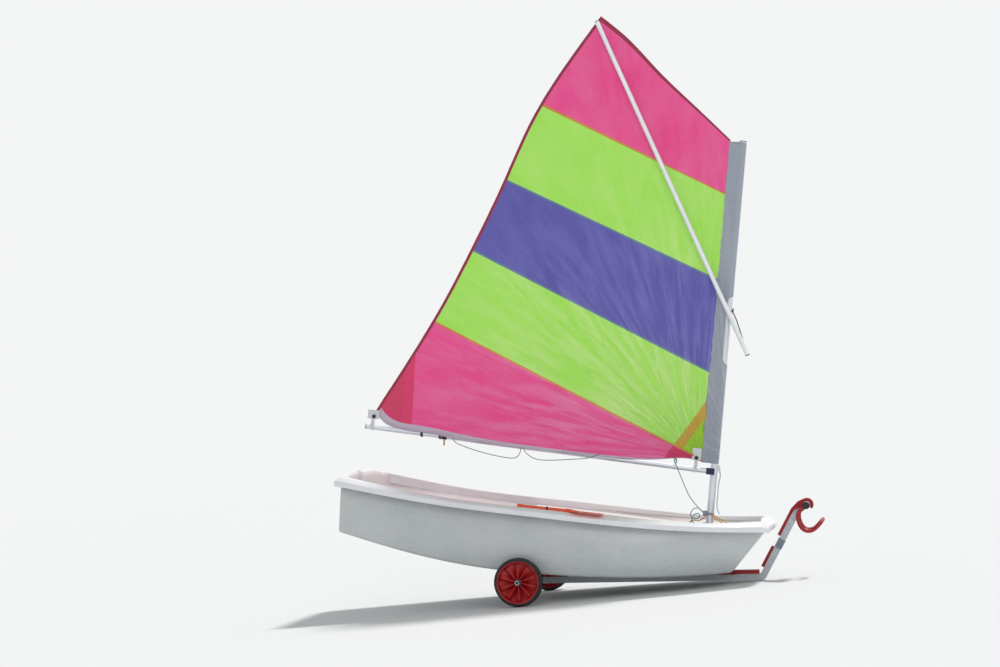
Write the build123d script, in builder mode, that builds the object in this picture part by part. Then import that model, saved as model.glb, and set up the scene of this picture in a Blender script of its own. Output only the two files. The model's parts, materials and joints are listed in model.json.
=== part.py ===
from build123d import *
import os
from math import acos, atan2, cos, hypot, radians, sin, tan

os.makedirs("parts", exist_ok=True)

# A moulded pram dinghy with a sprit rig, parked bow down on a two-wheeled launching trolley.
# Frame: +X to the bow, +Y to port, +Z up, floor at z = 0. Millimetres.

# Attitude of the boat on the trolley, and where the middle of its rail line lies
pitch = 11.1
boat_x = -86.7
boat_z = 543.8

boat = Plane(
    origin=(boat_x, 0, boat_z),
    x_dir=(cos(radians(pitch)), 0, -sin(radians(pitch))),
    z_dir=(sin(radians(pitch)), 0, cos(radians(pitch))),
)
boat_side = Plane(origin=boat.origin, x_dir=boat.x_dir, z_dir=(0, -1, 0))

# Hull and rail
wall = 6.0
stern_x = -1158.0
rail_cover = 8.0
rail_width = 40.0
rail_depth = 46.0
corner_radius = 34.0

# Sections of the hull, from the stern to the bow, in the boat's own frame.
# Columns: x at the rail, x at the chine, rail half breadth, rail height, chine half breadth,
# chine height, depth of the keel below the chine
sections = [
    (stern_x, stern_x, 472, 0, 410, -298, 8),
    (-620, -620, 518, -36, 446, -380, 14),
    (-60, -60, 537, -43, 461, -397, 18),
    (470, 455, 502, -42, 414, -364, 8),
    (860, 770, 408, -26, 322, -325, 3),
    (1154, 980, 288, 0, 208, -293, 1),
]

# Rail line between the corners. Columns: x, half breadth, height, inward heading in degrees,
# rise of the rail's crown
rail_line = [
    (-1130, 474, -3, -6, 12),
    (-620, 518, -36, -4, 0),
    (-60, 537, -43, 1, 0),
    (470, 502, -42, 9, 0),
    (860, 408, -26, 19, 0),
    (1104, 310, -6, 24, 10),
]

# Rail over the transoms, from the corner to the centreline. Columns: share of the half breadth,
# rise of the whole section, of its crown, of its outer edge, and the growth of its width
stern_rail = [(0.78, 0, 28, 14, 0), (0, 0, 33, 18, 0)]
bow_rail = [(0.78, 8, 14, 2, 10), (0, 18, 4, 4, 24)]

# Cockpit moulding
tank_start = -212.0
tank_end = 722.0
tank_inner_aft = 355.0
tank_inner_fore = 250.0
tank_height = -84.0
thwart_fore = 62.0
thwart_skin = 14.0
case_length = 340.0
case_wall = 9.0
slot_length = 320.0
slot_width = 16.0
mast_thwart_length = 190.0
mast_thwart_height = -58.0
mast_thwart_skin = 18.0

# Rig: x forward and z up from the point where the mast axis passes the rail line
mast_x = 822.0
mast_rake = 0.6
mast_radius = 20.0
mast_wall = 1.8
mast_foot = -286.0
mast_head = 2060.0
bore_clearance = 0.06
sleeve_foot = 278.0
sleeve_head = 2052.0
sleeve_aft = -73.0
boom_radius = 14.0
boom_fore = -30.0
boom_aft = -1974.0
boom_height = 232.0
boom_rise = 1.97
sprit_radius = 13.0
sprit_heel = (129.0, -42.0, 888.0)
sprit_peak = (-867.0, -19.0, 2665.0)
sail_thickness = 2.0

lean = radians(pitch - mast_rake)
mast_point = boat.from_local_coords((mast_x, 0, 0))
rig = Plane(origin=mast_point, x_dir=(cos(lean), 0, -sin(lean)), z_dir=(sin(lean), 0, cos(lean)))
rig_side = Plane(origin=rig.origin, x_dir=rig.x_dir, z_dir=(0, -1, 0))

# Trolley
wheel_radius = 130.0
wheel_width = 64.0
wheel_outer = 566.0
rim_radius = 108.0
wheel_x = boat_x - 202.5
axle_radius = 12.5
axle_bore = 9.0
axle_end = 582.0
front_size = 40.0
front_wall = 3.0
rear_size = front_size - 2 * front_wall
bend_x = boat_x + 1056.0
joint_x = boat_x + 921.5
upright_angle = 57.3
upright_size = 36.0
pad_thickness = 18.0
grip_centre = (boat_x + 1335.0, 391.5)
grip_radius = 20.0
grip_half = 115.0

# The slope that lets the axle lie on the beam while the bend stands on the floor
beam_run = bend_x - wheel_x
rear_top = front_size - front_wall
beam_slope = acos((rear_top + axle_radius) / hypot(beam_run, wheel_radius)) - atan2(beam_run, wheel_radius)
beam = Plane(
    origin=(bend_x, 0, 0),
    x_dir=(cos(beam_slope), 0, -sin(beam_slope)),
    z_dir=(sin(beam_slope), 0, cos(beam_slope)),
)


def boat_point(x, y, z):
    """A point given in the boat's own frame, as a point of the model."""
    return boat.from_local_coords((x, y, z))


def rig_point(x, y, z):
    """A point given in the rig's frame, as a point of the model."""
    return rig.from_local_coords((x, y, z))


def across(origin, forward):
    """A plane athwartships: x to port, y up, looking along forward."""
    return Plane(origin=origin, x_dir=(0, 1, 0), z_dir=forward)


def rod(start, end, radius):
    """A round bar between two points."""
    run = Vector(end) - Vector(start)
    with BuildPart() as bar:
        with BuildSketch(Plane(origin=start, z_dir=run)):
            Circle(radius)
        extrude(amount=run.length)
    return bar.part


def block(frame, x, y, z):
    """A block in the given frame, each side a pair of low and high."""
    with BuildPart() as solid:
        with BuildSketch(frame.offset(z[0])):
            with Locations(((x[0] + x[1]) / 2, (y[0] + y[1]) / 2)):
                Rectangle(x[1] - x[0], y[1] - y[0])
        extrude(amount=z[1] - z[0])
    return solid.part


def prism(frame, outline, low, high):
    """The outline drawn in the frame's plane, made solid from low to high."""
    with BuildPart() as solid:
        with BuildSketch(frame.offset(low)):
            with BuildLine():
                Polyline(*outline, close=True)
            make_face()
        extrude(amount=high - low)
    return solid.part


def hull_form(inset, top):
    """Loft through the hull sections, drawn in by inset and ending top above the rail line."""
    last = len(sections) - 1
    with BuildPart() as form:
        for number, row in enumerate(sections):
            rail_x, chine_x, rail_y, rail_z, chine_y, chine_z, keel = row
            low = boat_point(chine_x, 0, chine_z)
            high = boat_point(rail_x, 0, rail_z)
            height = (high - low).length
            flare = (rail_y - chine_y) / height
            shift = {0: inset, last: -inset}.get(number, 0)
            forward = Vector(0, 1, 0).cross((high - low).normalized())
            bottom_y = chine_y - inset + flare * inset
            top_y = chine_y - inset + flare * (height + top)
            with BuildSketch(across(low, forward).offset(shift)):
                with BuildLine():
                    Polyline(
                        (0, inset - keel),
                        (bottom_y, inset),
                        (top_y, height + top),
                        (-top_y, height + top),
                        (-bottom_y, inset),
                        close=True,
                    )
                make_face()
        loft()
    return form.part


hull_outside = hull_form(0, -rail_cover)
cavity = hull_form(wall, 60)


def rail_section(crown=0, edge=0, growth=0):
    """Section of the rail, x outward and y up from the rail line: rounded top, turned-in foot."""
    side = rail_width + growth
    foot = -rail_depth
    top = edge - 20
    bulge = (-4 + 0.636 * (side + 4), crown - 0.2 * (crown - top))
    with BuildSketch() as section:
        with BuildLine():
            Line((-11, -30), (-11, crown - 7))
            ThreePointArc((-11, crown - 7), (-9, crown - 2), (-4, crown))
            ThreePointArc((-4, crown), bulge, (side, top))
            Line((side, top), (side, foot + 6))
            ThreePointArc((side, foot + 6), (side - 2, foot + 2), (side - 6, foot))
            Line((side - 6, foot), (-18, foot))
            Line((-18, foot), (-11, -30))
        make_face()
    return section.sketch


# Hull moulding: bottom, topsides and both transoms, with the slot for the daggerboard
with BuildPart() as hull_shell:
    add(hull_outside)
    add(cavity, mode=Mode.SUBTRACT)
    with BuildSketch(boat):
        with Locations((thwart_fore + case_length / 2, 0)):
            Rectangle(case_length, slot_width + 2 * case_wall)
    extrude(amount=-600, mode=Mode.SUBTRACT)
hull_shell.part.label = "hull_shell"
export_step(hull_shell.part, "parts/hull_shell.step")

# Rail: lofted along the side, turned round the corners, mirrored, and crowned over the transoms
rail_ends = [(rail_line[0], -1, stern_rail), (rail_line[-1], 1, bow_rail)]


def outward(heading):
    """Direction square to the rail line, away from the boat."""
    return boat.x_dir * sin(radians(heading)) + Vector(0, cos(radians(heading)), 0)


def rail_plane(point, away):
    """Plane for the rail's section: x away from the boat, y up."""
    return Plane(origin=point, x_dir=away, z_dir=away.cross(boat.z_dir))


with BuildPart() as rail_half:
    for x, y, z, heading, crown in rail_line:
        with BuildSketch(rail_plane(boat_point(x, y, z), outward(heading))):
            add(rail_section(crown))
    loft()
    for (x, y, z, heading, crown), side, arch in rail_ends:
        corner = boat_point(x, y, z)
        with BuildSketch(rail_plane(corner, outward(heading))):
            add(rail_section(crown))
        revolve(
            axis=Axis(corner - outward(heading) * corner_radius, boat.z_dir * -side),
            revolution_arc=90 - side * heading,
        )

with BuildPart() as gunwale:
    add(rail_half.part)
    mirror(about=Plane.XZ)
    for (x, y, z, heading, crown), side, arch in rail_ends:
        pivot = boat.to_local_coords(boat_point(x, y, z) - outward(heading) * corner_radius)
        half_arch = [(1, 0, crown, 0, 0), *arch]
        port_half = [(-share, *row) for share, *row in half_arch[-2::-1]]
        for share, rise, top, edge, growth in half_arch + port_half:
            station = boat_point(pivot.X + side * corner_radius, pivot.Y * share, z + rise)
            with BuildSketch(Plane(origin=station, x_dir=boat.x_dir * side, z_dir=(0, -side, 0))):
                add(rail_section(top, edge, growth))
        loft()
    add(hull_outside, mode=Mode.SUBTRACT)
gunwale.part.label = "gunwale"
export_step(gunwale.part, "parts/gunwale.step")

# Sealed side tanks, level with the thwart amidships
with BuildPart() as side_tanks:
    add(
        prism(
            boat,
            [(tank_start, tank_inner_aft), (tank_end, tank_inner_fore), (tank_end, 700), (tank_start, 700)],
            -600,
            tank_height,
        )
    )
    add(cavity, mode=Mode.INTERSECT)
    mirror(about=Plane.XZ)
side_tanks.part.label = "side_tanks"
export_step(side_tanks.part, "parts/side_tanks.step")

# Daggerboard case, through the bottom and flush with it
case_end = thwart_fore + case_length
case_half = slot_width / 2 + case_wall
slot_start = thwart_fore + (case_length - slot_length) / 2
with BuildPart() as daggerboard_case:
    add(block(boat, (thwart_fore, case_end), (-case_half, case_half), (-600, tank_height)))
    add(hull_outside, mode=Mode.INTERSECT)
    add(
        block(boat, (slot_start, slot_start + slot_length), (-slot_width / 2, slot_width / 2), (-600, 0)),
        mode=Mode.SUBTRACT,
    )
daggerboard_case.part.label = "daggerboard_case"
export_step(daggerboard_case.part, "parts/daggerboard_case.step")

# Midship thwart with the web that carries it
web_x = -75.0
web_half = 6.0
with BuildPart() as midship_thwart:
    add(block(boat, (tank_start, thwart_fore), (-500, 500), (tank_height - thwart_skin, tank_height)))
    add(block(boat, (web_x - web_half, web_x + web_half), (-500, 500), (-600, tank_height - thwart_skin)))
    add(cavity, mode=Mode.INTERSECT)
    add(side_tanks.part, mode=Mode.SUBTRACT)
    with BuildSketch(across(boat_point(web_x, 0, 0), boat.x_dir)):
        with Locations((-165, -240), (165, -240)):
            RectangleRounded(230, 150, 40)
    extrude(amount=web_half, both=True, mode=Mode.SUBTRACT)
midship_thwart.part.label = "midship_thwart"
export_step(midship_thwart.part, "parts/midship_thwart.step")

# Mast thwart, its bush, and the step on the floor
mast_thwart_base = mast_thwart_height - mast_thwart_skin
bush_radius = 27.0
flange_radius = 38.0
with BuildPart() as mast_thwart:
    add(block(boat, (tank_end, tank_end + mast_thwart_length), (-500, 500), (mast_thwart_base, mast_thwart_height)))
    add(cavity, mode=Mode.INTERSECT)
    add(rod(rig_point(0, 0, -120), rig_point(0, 0, 0), bush_radius), mode=Mode.SUBTRACT)
mast_thwart.part.label = "mast_thwart"
export_step(mast_thwart.part, "parts/mast_thwart.step")

with BuildPart() as mast_bush:
    add(rod(rig_point(0, 0, mast_thwart_base - 8), rig_point(0, 0, mast_thwart_height), bush_radius))
    add(rod(rig_point(0, 0, mast_thwart_height - 2), rig_point(0, 0, mast_thwart_height + 6), flange_radius))
    add(mast_thwart.part, mode=Mode.SUBTRACT)
    add(rod(rig_point(0, 0, -120), rig_point(0, 0, 0), mast_radius + bore_clearance), mode=Mode.SUBTRACT)
mast_bush.part.label = "mast_bush"
export_step(mast_bush.part, "parts/mast_bush.step")

with BuildPart() as mast_step:
    add(rod(rig_point(0, 0, mast_foot - 60), rig_point(0, 0, mast_foot + 26), 34))
    add(rod(rig_point(0, 0, mast_foot - 60), rig_point(0, 0, mast_foot - 14), 58))
    add(cavity, mode=Mode.INTERSECT)
    add(
        rod(rig_point(0, 0, mast_foot - 0.3), rig_point(0, 0, 0), mast_radius + bore_clearance),
        mode=Mode.SUBTRACT,
    )
mast_step.part.label = "mast_step"
export_step(mast_step.part, "parts/mast_step.step")

# Inner skins of the transoms, which round the corners of the cockpit. Columns: height, x of the
# inner face, half breadth there, x further into the cockpit, half breadth there
stern_skin = [(0, -1132, 473, -1000, 494), (-320, -1132, 405, -1000, 420)]
bow_skin = [(0, 1128, 294, 1000, 362), (-320, 938, 220, 798, 310)]
skin_top = 20.0
skin_end = -3.0
liners = [("stern_liner", -1, 75.0, stern_skin), ("bow_liner", 1, 90.0, bow_skin)]
for name, side, radius, (upper, lower) in liners:
    steps = [(high - low) / (upper[0] - lower[0]) for high, low in zip(upper, lower)]
    summit = [high + skin_top * step for high, step in zip(upper, steps)]
    reach = side * radius * 1.15
    slab = [
        (upper[1] - reach, skin_end),
        (upper[1] + side * 60, skin_end),
        (lower[1] + side * 60, lower[0]),
        (lower[1] - reach, lower[0]),
    ]
    with BuildPart() as liner_room:
        for height, face_x, face_y, inner_x, inner_y in (summit, lower):
            far_x = face_x + 3 * (inner_x - face_x)
            far_y = face_y + 3 * (inner_y - face_y)
            with BuildSketch(boat.offset(height)):
                with BuildLine():
                    Polyline((face_x, -face_y), (face_x, face_y), (far_x, far_y), (far_x, -far_y), close=True)
                make_face()
                fillet(vertices().group_by(Axis.X)[-1 if side > 0 else 0], radius)
        loft(ruled=True)
    with BuildPart() as liner:
        add(prism(boat_side, slab, -600, 600))
        add(cavity, mode=Mode.INTERSECT)
        add(liner_room.part, mode=Mode.SUBTRACT)
        add(gunwale.part, mode=Mode.SUBTRACT)
    liner.part.label = name
    export_step(liner.part, f"parts/{name}.step")

# Rudder gudgeons on the stern transom: back plate, arm and a bore for the pintle, aft of the rail
pintle_radius = 4.0
gudgeon_x = stern_x - 54
with BuildPart() as rudder_gudgeons:
    for height in (-70, -235):
        add(block(boat, (stern_x - 3, stern_x), (-34, 34), (height - 12, height + 12)))
        add(block(boat, (gudgeon_x + 5, stern_x - 2), (-6, 6), (height - 7, height + 7)))
        add(rod(boat_point(gudgeon_x, 0, height - 9), boat_point(gudgeon_x, 0, height + 9), 10))
        add(
            rod(
                boat_point(gudgeon_x, 0, height - 10),
                boat_point(gudgeon_x, 0, height + 10),
                pintle_radius + bore_clearance,
            ),
            mode=Mode.SUBTRACT,
        )
rudder_gudgeons.part.label = "rudder_gudgeons"
export_step(rudder_gudgeons.part, "parts/rudder_gudgeons.step")

with BuildPart() as drain_bung:
    add(rod(boat_point(stern_x, 110, -262), boat_point(stern_x - 5, 110, -262), 16))
    add(rod(boat_point(stern_x - 5, 110, -262), boat_point(stern_x - 14, 110, -262), 9))
drain_bung.part.label = "drain_bung"
export_step(drain_bung.part, "parts/drain_bung.step")

# Low eye for the mainsheet, on the thwart
with BuildPart() as mainsheet_eye:
    add(rod(boat_point(-20, 0, tank_height), boat_point(-20, 0, tank_height + 5), 22))
    add(rod(boat_point(-20, 0, tank_height + 4), boat_point(-20, 0, tank_height + 18), 12))
mainsheet_eye.part.label = "mainsheet_eye"
export_step(mainsheet_eye.part, "parts/mainsheet_eye.step")

# Paddle lying on the starboard rail
paddle_grip = boat_point(-150, -500, -58)
paddle_tip = boat_point(303, -550, -30)
paddle_run = (paddle_tip - paddle_grip).normalized()
paddle_side = boat.z_dir.cross(paddle_run).normalized()
paddle = Plane(origin=paddle_grip, x_dir=paddle_run, z_dir=paddle_run.cross(paddle_side))
paddle_length = (paddle_tip - paddle_grip).length
with BuildPart() as paddle_solid:
    add(rod(paddle_grip, paddle_grip + paddle_run * 280, 10))
    with BuildSketch(paddle.offset(-3.5)):
        with BuildLine():
            Polyline(
                (230, -14),
                (275, -48),
                (paddle_length - 24, -55),
                (paddle_length, -38),
                (paddle_length, 38),
                (paddle_length - 24, 55),
                (275, 48),
                (230, 14),
                close=True,
            )
        make_face()
    extrude(amount=7)
    add(gunwale.part, mode=Mode.SUBTRACT)
    add(hull_shell.part, mode=Mode.SUBTRACT)
paddle_solid.part.label = "paddle"
export_step(paddle_solid.part, "parts/paddle.step")

# Mast and its end plugs
plug_cap = 4.0
plug_depth = 20.0
with BuildPart() as mast:
    add(rod(rig_point(0, 0, mast_foot + plug_cap), rig_point(0, 0, mast_head - plug_cap), mast_radius))
    add(
        rod(rig_point(0, 0, mast_foot), rig_point(0, 0, mast_head), mast_radius - mast_wall),
        mode=Mode.SUBTRACT,
    )
mast.part.label = "mast"
export_step(mast.part, "parts/mast.step")

with BuildPart() as mast_plugs:
    for end, inward in ((mast_foot, 1), (mast_head, -1)):
        add(rod(rig_point(0, 0, end), rig_point(0, 0, end + inward * plug_cap), mast_radius))
        add(
            rod(
                rig_point(0, 0, end + inward * plug_cap),
                rig_point(0, 0, end + inward * plug_depth),
                mast_radius - mast_wall,
            )
        )
mast_plugs.part.label = "mast_plugs"
export_step(mast_plugs.part, "parts/mast_plugs.step")


def spar(start, end, radius, thickness):
    """A hollow spar between two points."""
    with BuildPart() as tube:
        add(rod(start, end, radius))
        add(rod(start, end, radius - thickness), mode=Mode.SUBTRACT)
    return tube.part


def spar_plugs(start, end, radius, thickness):
    """Round plugs that close both ends of a spar."""
    run = (end - start).normalized()
    with BuildPart() as plugs:
        for point, outward in ((start, run * -1), (end, run)):
            add(rod(point, point + outward * plug_cap, radius))
            add(rod(point, point - outward * plug_depth, radius - thickness))
    return plugs.part


# Boom, its aft plug, and the jaw that fits round the mast
spar_wall = 1.6
boom_start = rig_point(boom_fore, 0, boom_height)
boom_end = rig_point(boom_aft, 0, boom_height + (boom_fore - boom_aft) * tan(radians(boom_rise)))
boom_run = (boom_end - boom_start).normalized()
with BuildPart() as boom:
    add(spar(boom_start, boom_end, boom_radius, spar_wall))
boom.part.label = "boom"
export_step(boom.part, "parts/boom.step")

with BuildPart() as boom_plug:
    add(rod(boom_end, boom_end + boom_run * plug_cap, boom_radius))
    add(rod(boom_end, boom_end - boom_run * plug_depth, boom_radius - spar_wall))
boom_plug.part.label = "boom_plug"
export_step(boom_plug.part, "parts/boom_plug.step")

jaw_height = 35.0
jaw_half = 28.0
with BuildPart() as boom_jaw:
    with BuildSketch(rig.offset(boom_height - jaw_height / 2)):
        with Locations((-9, 0)):
            RectangleRounded(26, 2 * jaw_half, 6)
        with BuildLine():
            Polyline((-20, -jaw_half), (-42, -17), (-42, 17), (-20, jaw_half), close=True)
        make_face()
        Circle(mast_radius, mode=Mode.SUBTRACT)
        with Locations((20, 0)):
            Rectangle(40, 2 * mast_radius, mode=Mode.SUBTRACT)
    extrude(amount=jaw_height)
    add(rod(boom_start, boom_start - boom_run * -200, boom_radius), mode=Mode.SUBTRACT)
boom_jaw.part.label = "boom_jaw"
export_step(boom_jaw.part, "parts/boom_jaw.step")

# Sprit and its end plugs
heel = rig_point(*sprit_heel)
peak = rig_point(*sprit_peak)
sprit_run = (peak - heel).normalized()
with BuildPart() as sprit:
    add(spar(heel, peak, sprit_radius, spar_wall))
sprit.part.label = "sprit"
export_step(sprit.part, "parts/sprit.step")

with BuildPart() as sprit_plugs:
    add(spar_plugs(heel, peak, sprit_radius, spar_wall))
sprit_plugs.part.label = "sprit_plugs"
export_step(sprit_plugs.part, "parts/sprit_plugs.step")

# Sail: outline in the rig's side plane, with its foot hanging on the near side of the boom
sail_outline = [
    (sleeve_aft, 352),
    (-128, 352),
    (-128, 286),
    (-622, 252),
    (-1032, 253),
    (-1449, 274),
    (-1675, 295),
    (-1905, 345),
    (-1931, 389),
    (-1652, 921),
    (-1470, 1341),
    (-1315, 1748),
    (-1151, 2183),
    (-850, 2702),
    (-505, 2421),
    (sleeve_aft, 2062),
]
skirt_y = -boom_radius - sail_thickness
half_cloth = sail_thickness / 2
with BuildPart() as sail:
    with BuildSketch(across(rig_point(sleeve_aft, 0, 0), rig.x_dir)):
        with BuildLine():
            Polyline(
                (half_cloth, 2800),
                (half_cloth, 469),
                (skirt_y + half_cloth, 345),
                (skirt_y + half_cloth, 200),
                (skirt_y - half_cloth, 200),
                (skirt_y - half_cloth, 346),
                (-half_cloth, 471),
                (-half_cloth, 2800),
                close=True,
            )
        make_face()
    extrude(amount=-1930)
    add(prism(rig_side, sail_outline, -60, 60), mode=Mode.INTERSECT)
sail.part.label = "sail"
export_step(sail.part, "parts/sail.step")


def teardrop(radius, apex):
    """Section of the luff sleeve: a circle with two tangents meeting aft."""
    touch_x = -radius * radius / apex
    touch_y = radius * (1 - (radius / apex) ** 2) ** 0.5
    with BuildSketch() as shape:
        Circle(radius)
        with BuildLine():
            Polyline((touch_x, touch_y), (-apex, 0), (touch_x, -touch_y), close=True)
        make_face()
    return shape.sketch


# Luff sleeve with the window that lets the sprit's tackle reach the mast
window = (818.0, 1200.0)
with BuildPart() as luff_sleeve:
    with BuildSketch(rig.offset(sleeve_foot)):
        add(teardrop(mast_radius + 2, -sleeve_aft + 4))
        add(teardrop(mast_radius, -sleeve_aft - 2), mode=Mode.SUBTRACT)
        with Locations((sleeve_aft - 20, 0)):
            Rectangle(40, 20, mode=Mode.SUBTRACT)
    extrude(amount=sleeve_head - sleeve_foot)
    add(block(rig, (-27, 60), (-60, 60), window), mode=Mode.SUBTRACT)
luff_sleeve.part.label = "luff_sleeve"
export_step(luff_sleeve.part, "parts/luff_sleeve.step")

# Corner plates of the sail, each hung from a strap round the boom
corner_plates = [("tack_strap", (-128, -78), (286, 352), -103.0), ("clew_strap", (-1972, -1905), (345, 395), -1940.0)]
for name, reach, height, strap_x in corner_plates:
    strap_z = boom_height + (boom_fore - strap_x) * tan(radians(boom_rise))
    strap_centre = rig_point(strap_x, 0, strap_z)
    with BuildPart() as corner:
        add(block(rig, reach, (-1.5, 1.5), height))
        add(block(rig, (strap_x - 10, strap_x + 10), (-1.5, 1.5), (strap_z, height[0] + 2)))
        add(rod(strap_centre - boom_run * 10, strap_centre + boom_run * 10, boom_radius + 2))
        add(rod(boom_start, boom_end, boom_radius), mode=Mode.SUBTRACT)
        add(sail.part, mode=Mode.SUBTRACT)
    corner.part.label = name
    export_step(corner.part, f"parts/{name}.step")

# Fittings on the mast
with BuildPart() as mast_fittings:
    add(block(rig, (0, 36), (-9, 9), (232, 262)))
    add(block(rig, (0, 30), (-5, 5), (1110, 1134)))
    add(block(rig, (-42, 0), (-11, 11), (-16, 16)))
    add(rod(rig_point(0, 0, -60), rig_point(0, 0, 1200), mast_radius), mode=Mode.SUBTRACT)
mast_fittings.part.label = "mast_fittings"
export_step(mast_fittings.part, "parts/mast_fittings.step")

# Trolley beam: a rear tube, plugged at its end, that slides into the front tube
beam_half = front_size / 2
rear_half = rear_size / 2
rear_wall = 3.0
rear_end = -beam_run - 78
socket_end = joint_x - bend_x
socket_depth = 108.0
with BuildPart() as beam_rear:
    add(block(beam, (rear_end, socket_end + socket_depth), (-rear_half, rear_half), (front_wall, rear_top)))
    add(
        block(
            beam,
            (rear_end, socket_end + socket_depth),
            (-rear_half + rear_wall, rear_half - rear_wall),
            (front_wall + rear_wall, rear_top - rear_wall),
        ),
        mode=Mode.SUBTRACT,
    )
beam_rear.part.label = "beam_rear"
export_step(beam_rear.part, "parts/beam_rear.step")

with BuildPart() as beam_plug:
    add(block(beam, (rear_end - plug_cap, rear_end), (-rear_half, rear_half), (front_wall, rear_top)))
    add(
        block(
            beam,
            (rear_end, rear_end + plug_depth),
            (-rear_half + rear_wall, rear_half - rear_wall),
            (front_wall + rear_wall, rear_top - rear_wall),
        )
    )
beam_plug.part.label = "beam_plug"
export_step(beam_plug.part, "parts/beam_plug.step")

# Front tube: level run, then bent up to the hand grip
beam_side = Plane(origin=beam.origin, x_dir=beam.x_dir, z_dir=(0, -1, 0))
upright_lean = radians(upright_angle) + beam_slope
upright_run = Vector(cos(upright_lean), sin(upright_lean), 0)
upright_fore = Vector(sin(upright_lean), -cos(upright_lean), 0)
bend_setback = 12.0
inner_x = bend_setback + (front_size * cos(upright_lean) - upright_size) / sin(upright_lean)
inner_corner = Vector(inner_x, front_size, 0)
outer_corner = inner_corner + upright_fore * upright_size
front_outline = [
    (socket_end, 0),
    (0, 0),
    Vector(bend_setback, 0, 0) + upright_run * bend_setback,
    outer_corner + upright_run * 449,
    inner_corner + upright_run * 408,
    inner_corner,
    (socket_end, front_size),
]
grip_x, grip_z = grip_centre
grip_port = Vector(grip_x, grip_half, grip_z)
grip_starboard = Vector(grip_x, -grip_half, grip_z)
with BuildPart() as beam_front:
    with BuildSketch(beam_side):
        with BuildLine():
            Polyline(*front_outline, close=True)
        make_face()
    extrude(amount=beam_half, both=True)
    with BuildSketch(beam_side):
        with BuildLine():
            Polyline(*front_outline, close=True)
        make_face()
        offset(amount=-front_wall, kind=Kind.INTERSECTION)
        with Locations((socket_end, front_size / 2)):
            Rectangle(20, rear_size)
    extrude(amount=rear_half, both=True, mode=Mode.SUBTRACT)
    add(rod(grip_starboard, grip_port, grip_radius), mode=Mode.SUBTRACT)
beam_front.part.label = "beam_front"
export_step(beam_front.part, "parts/beam_front.step")

# Pads on the face of the upright, and the clamp round it between them
pad_depth = 17.0
pad_spans = [(36, 162), (230, 392)]
clamp_span = (165, 219)
clamp_wall = 2.5
with BuildPart() as upright_pads:
    for low, high in pad_spans:
        corners = [
            inner_corner + upright_run * low,
            inner_corner + upright_run * high,
            inner_corner + upright_run * high - upright_fore * pad_depth,
            inner_corner + upright_run * low - upright_fore * pad_depth,
        ]
        add(prism(beam_side, corners, -beam_half, beam_half))
    add(rod(grip_starboard, grip_port, grip_radius), mode=Mode.SUBTRACT)
upright_pads.part.label = "upright_pads"
export_step(upright_pads.part, "parts/upright_pads.step")

with BuildPart() as upright_clamp:
    clamp_corners = [
        inner_corner + upright_run * clamp_span[0] - upright_fore * clamp_wall,
        inner_corner + upright_run * clamp_span[1] - upright_fore * clamp_wall,
        outer_corner + upright_run * clamp_span[1] + upright_fore * clamp_wall,
        outer_corner + upright_run * clamp_span[0] + upright_fore * clamp_wall,
    ]
    add(prism(beam_side, clamp_corners, -beam_half - clamp_wall, beam_half + clamp_wall))
    add(prism(beam_side, front_outline, -beam_half, beam_half), mode=Mode.SUBTRACT)
upright_clamp.part.label = "upright_clamp"
export_step(upright_clamp.part, "parts/upright_clamp.step")

# Bow pad on the beam
with BuildPart() as bow_pad:
    add(block(beam, (socket_end - 105, -16), (-40, 40), (front_size, front_size + pad_thickness)))
    add(block(beam, (socket_end - 105, socket_end), (-40, 40), (rear_top, front_size)))
    add(hull_outside, mode=Mode.SUBTRACT)
bow_pad.part.label = "bow_pad"
export_step(bow_pad.part, "parts/bow_pad.step")

# Hand grip: cross tube with plugs, wrapped over the head of the upright, and a pull loop
wrap_radius = 36.0
wrap_half = 46.0
loop_radius = 11.5
loop_y = 80.0
loop_line = [(1320, 380), (1288, 350), (1286, 305), (1302, 268), (1331, 252), (1370, 262), (1408, 298)]
with BuildPart() as grip_tube:
    add(spar(grip_starboard, grip_port, grip_radius, 2))
grip_tube.part.label = "grip_tube"
export_step(grip_tube.part, "parts/grip_tube.step")

with BuildPart() as grip_plugs:
    add(spar_plugs(grip_starboard, grip_port, grip_radius, 2))
grip_plugs.part.label = "grip_plugs"
export_step(grip_plugs.part, "parts/grip_plugs.step")

# The wrap goes on from the pad over the head of the upright and curls round the grip, open below
wrap_foot = inner_corner + upright_run * pad_spans[-1][1]
wrap_axis = beam_side.to_local_coords(Vector(grip_x, 0, grip_z))
wrap_outline = [
    wrap_foot,
    wrap_foot - upright_fore * pad_depth,
    wrap_axis + Vector(-48, 19, 0),
    wrap_axis + Vector(-20, wrap_radius - 5, 0),
    wrap_axis,
]
wrap_gap = [wrap_axis + Vector(x, y, 0) for x, y in ((0, 0), (66, -48), (40, -120), (-60, -120))]
with BuildPart() as grip_wrap:
    add(rod(Vector(grip_x, -wrap_half, grip_z), Vector(grip_x, wrap_half, grip_z), wrap_radius))
    add(prism(beam_side, wrap_outline, -wrap_half, wrap_half))
    add(prism(beam_side, wrap_gap, -60, 60), mode=Mode.SUBTRACT)
    add(rod(grip_starboard, grip_port, grip_radius), mode=Mode.SUBTRACT)
    add(prism(beam_side, front_outline, -beam_half, beam_half), mode=Mode.SUBTRACT)
    add(upright_pads.part, mode=Mode.SUBTRACT)
grip_wrap.part.label = "grip_wrap"
export_step(grip_wrap.part, "parts/grip_wrap.step")

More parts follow.
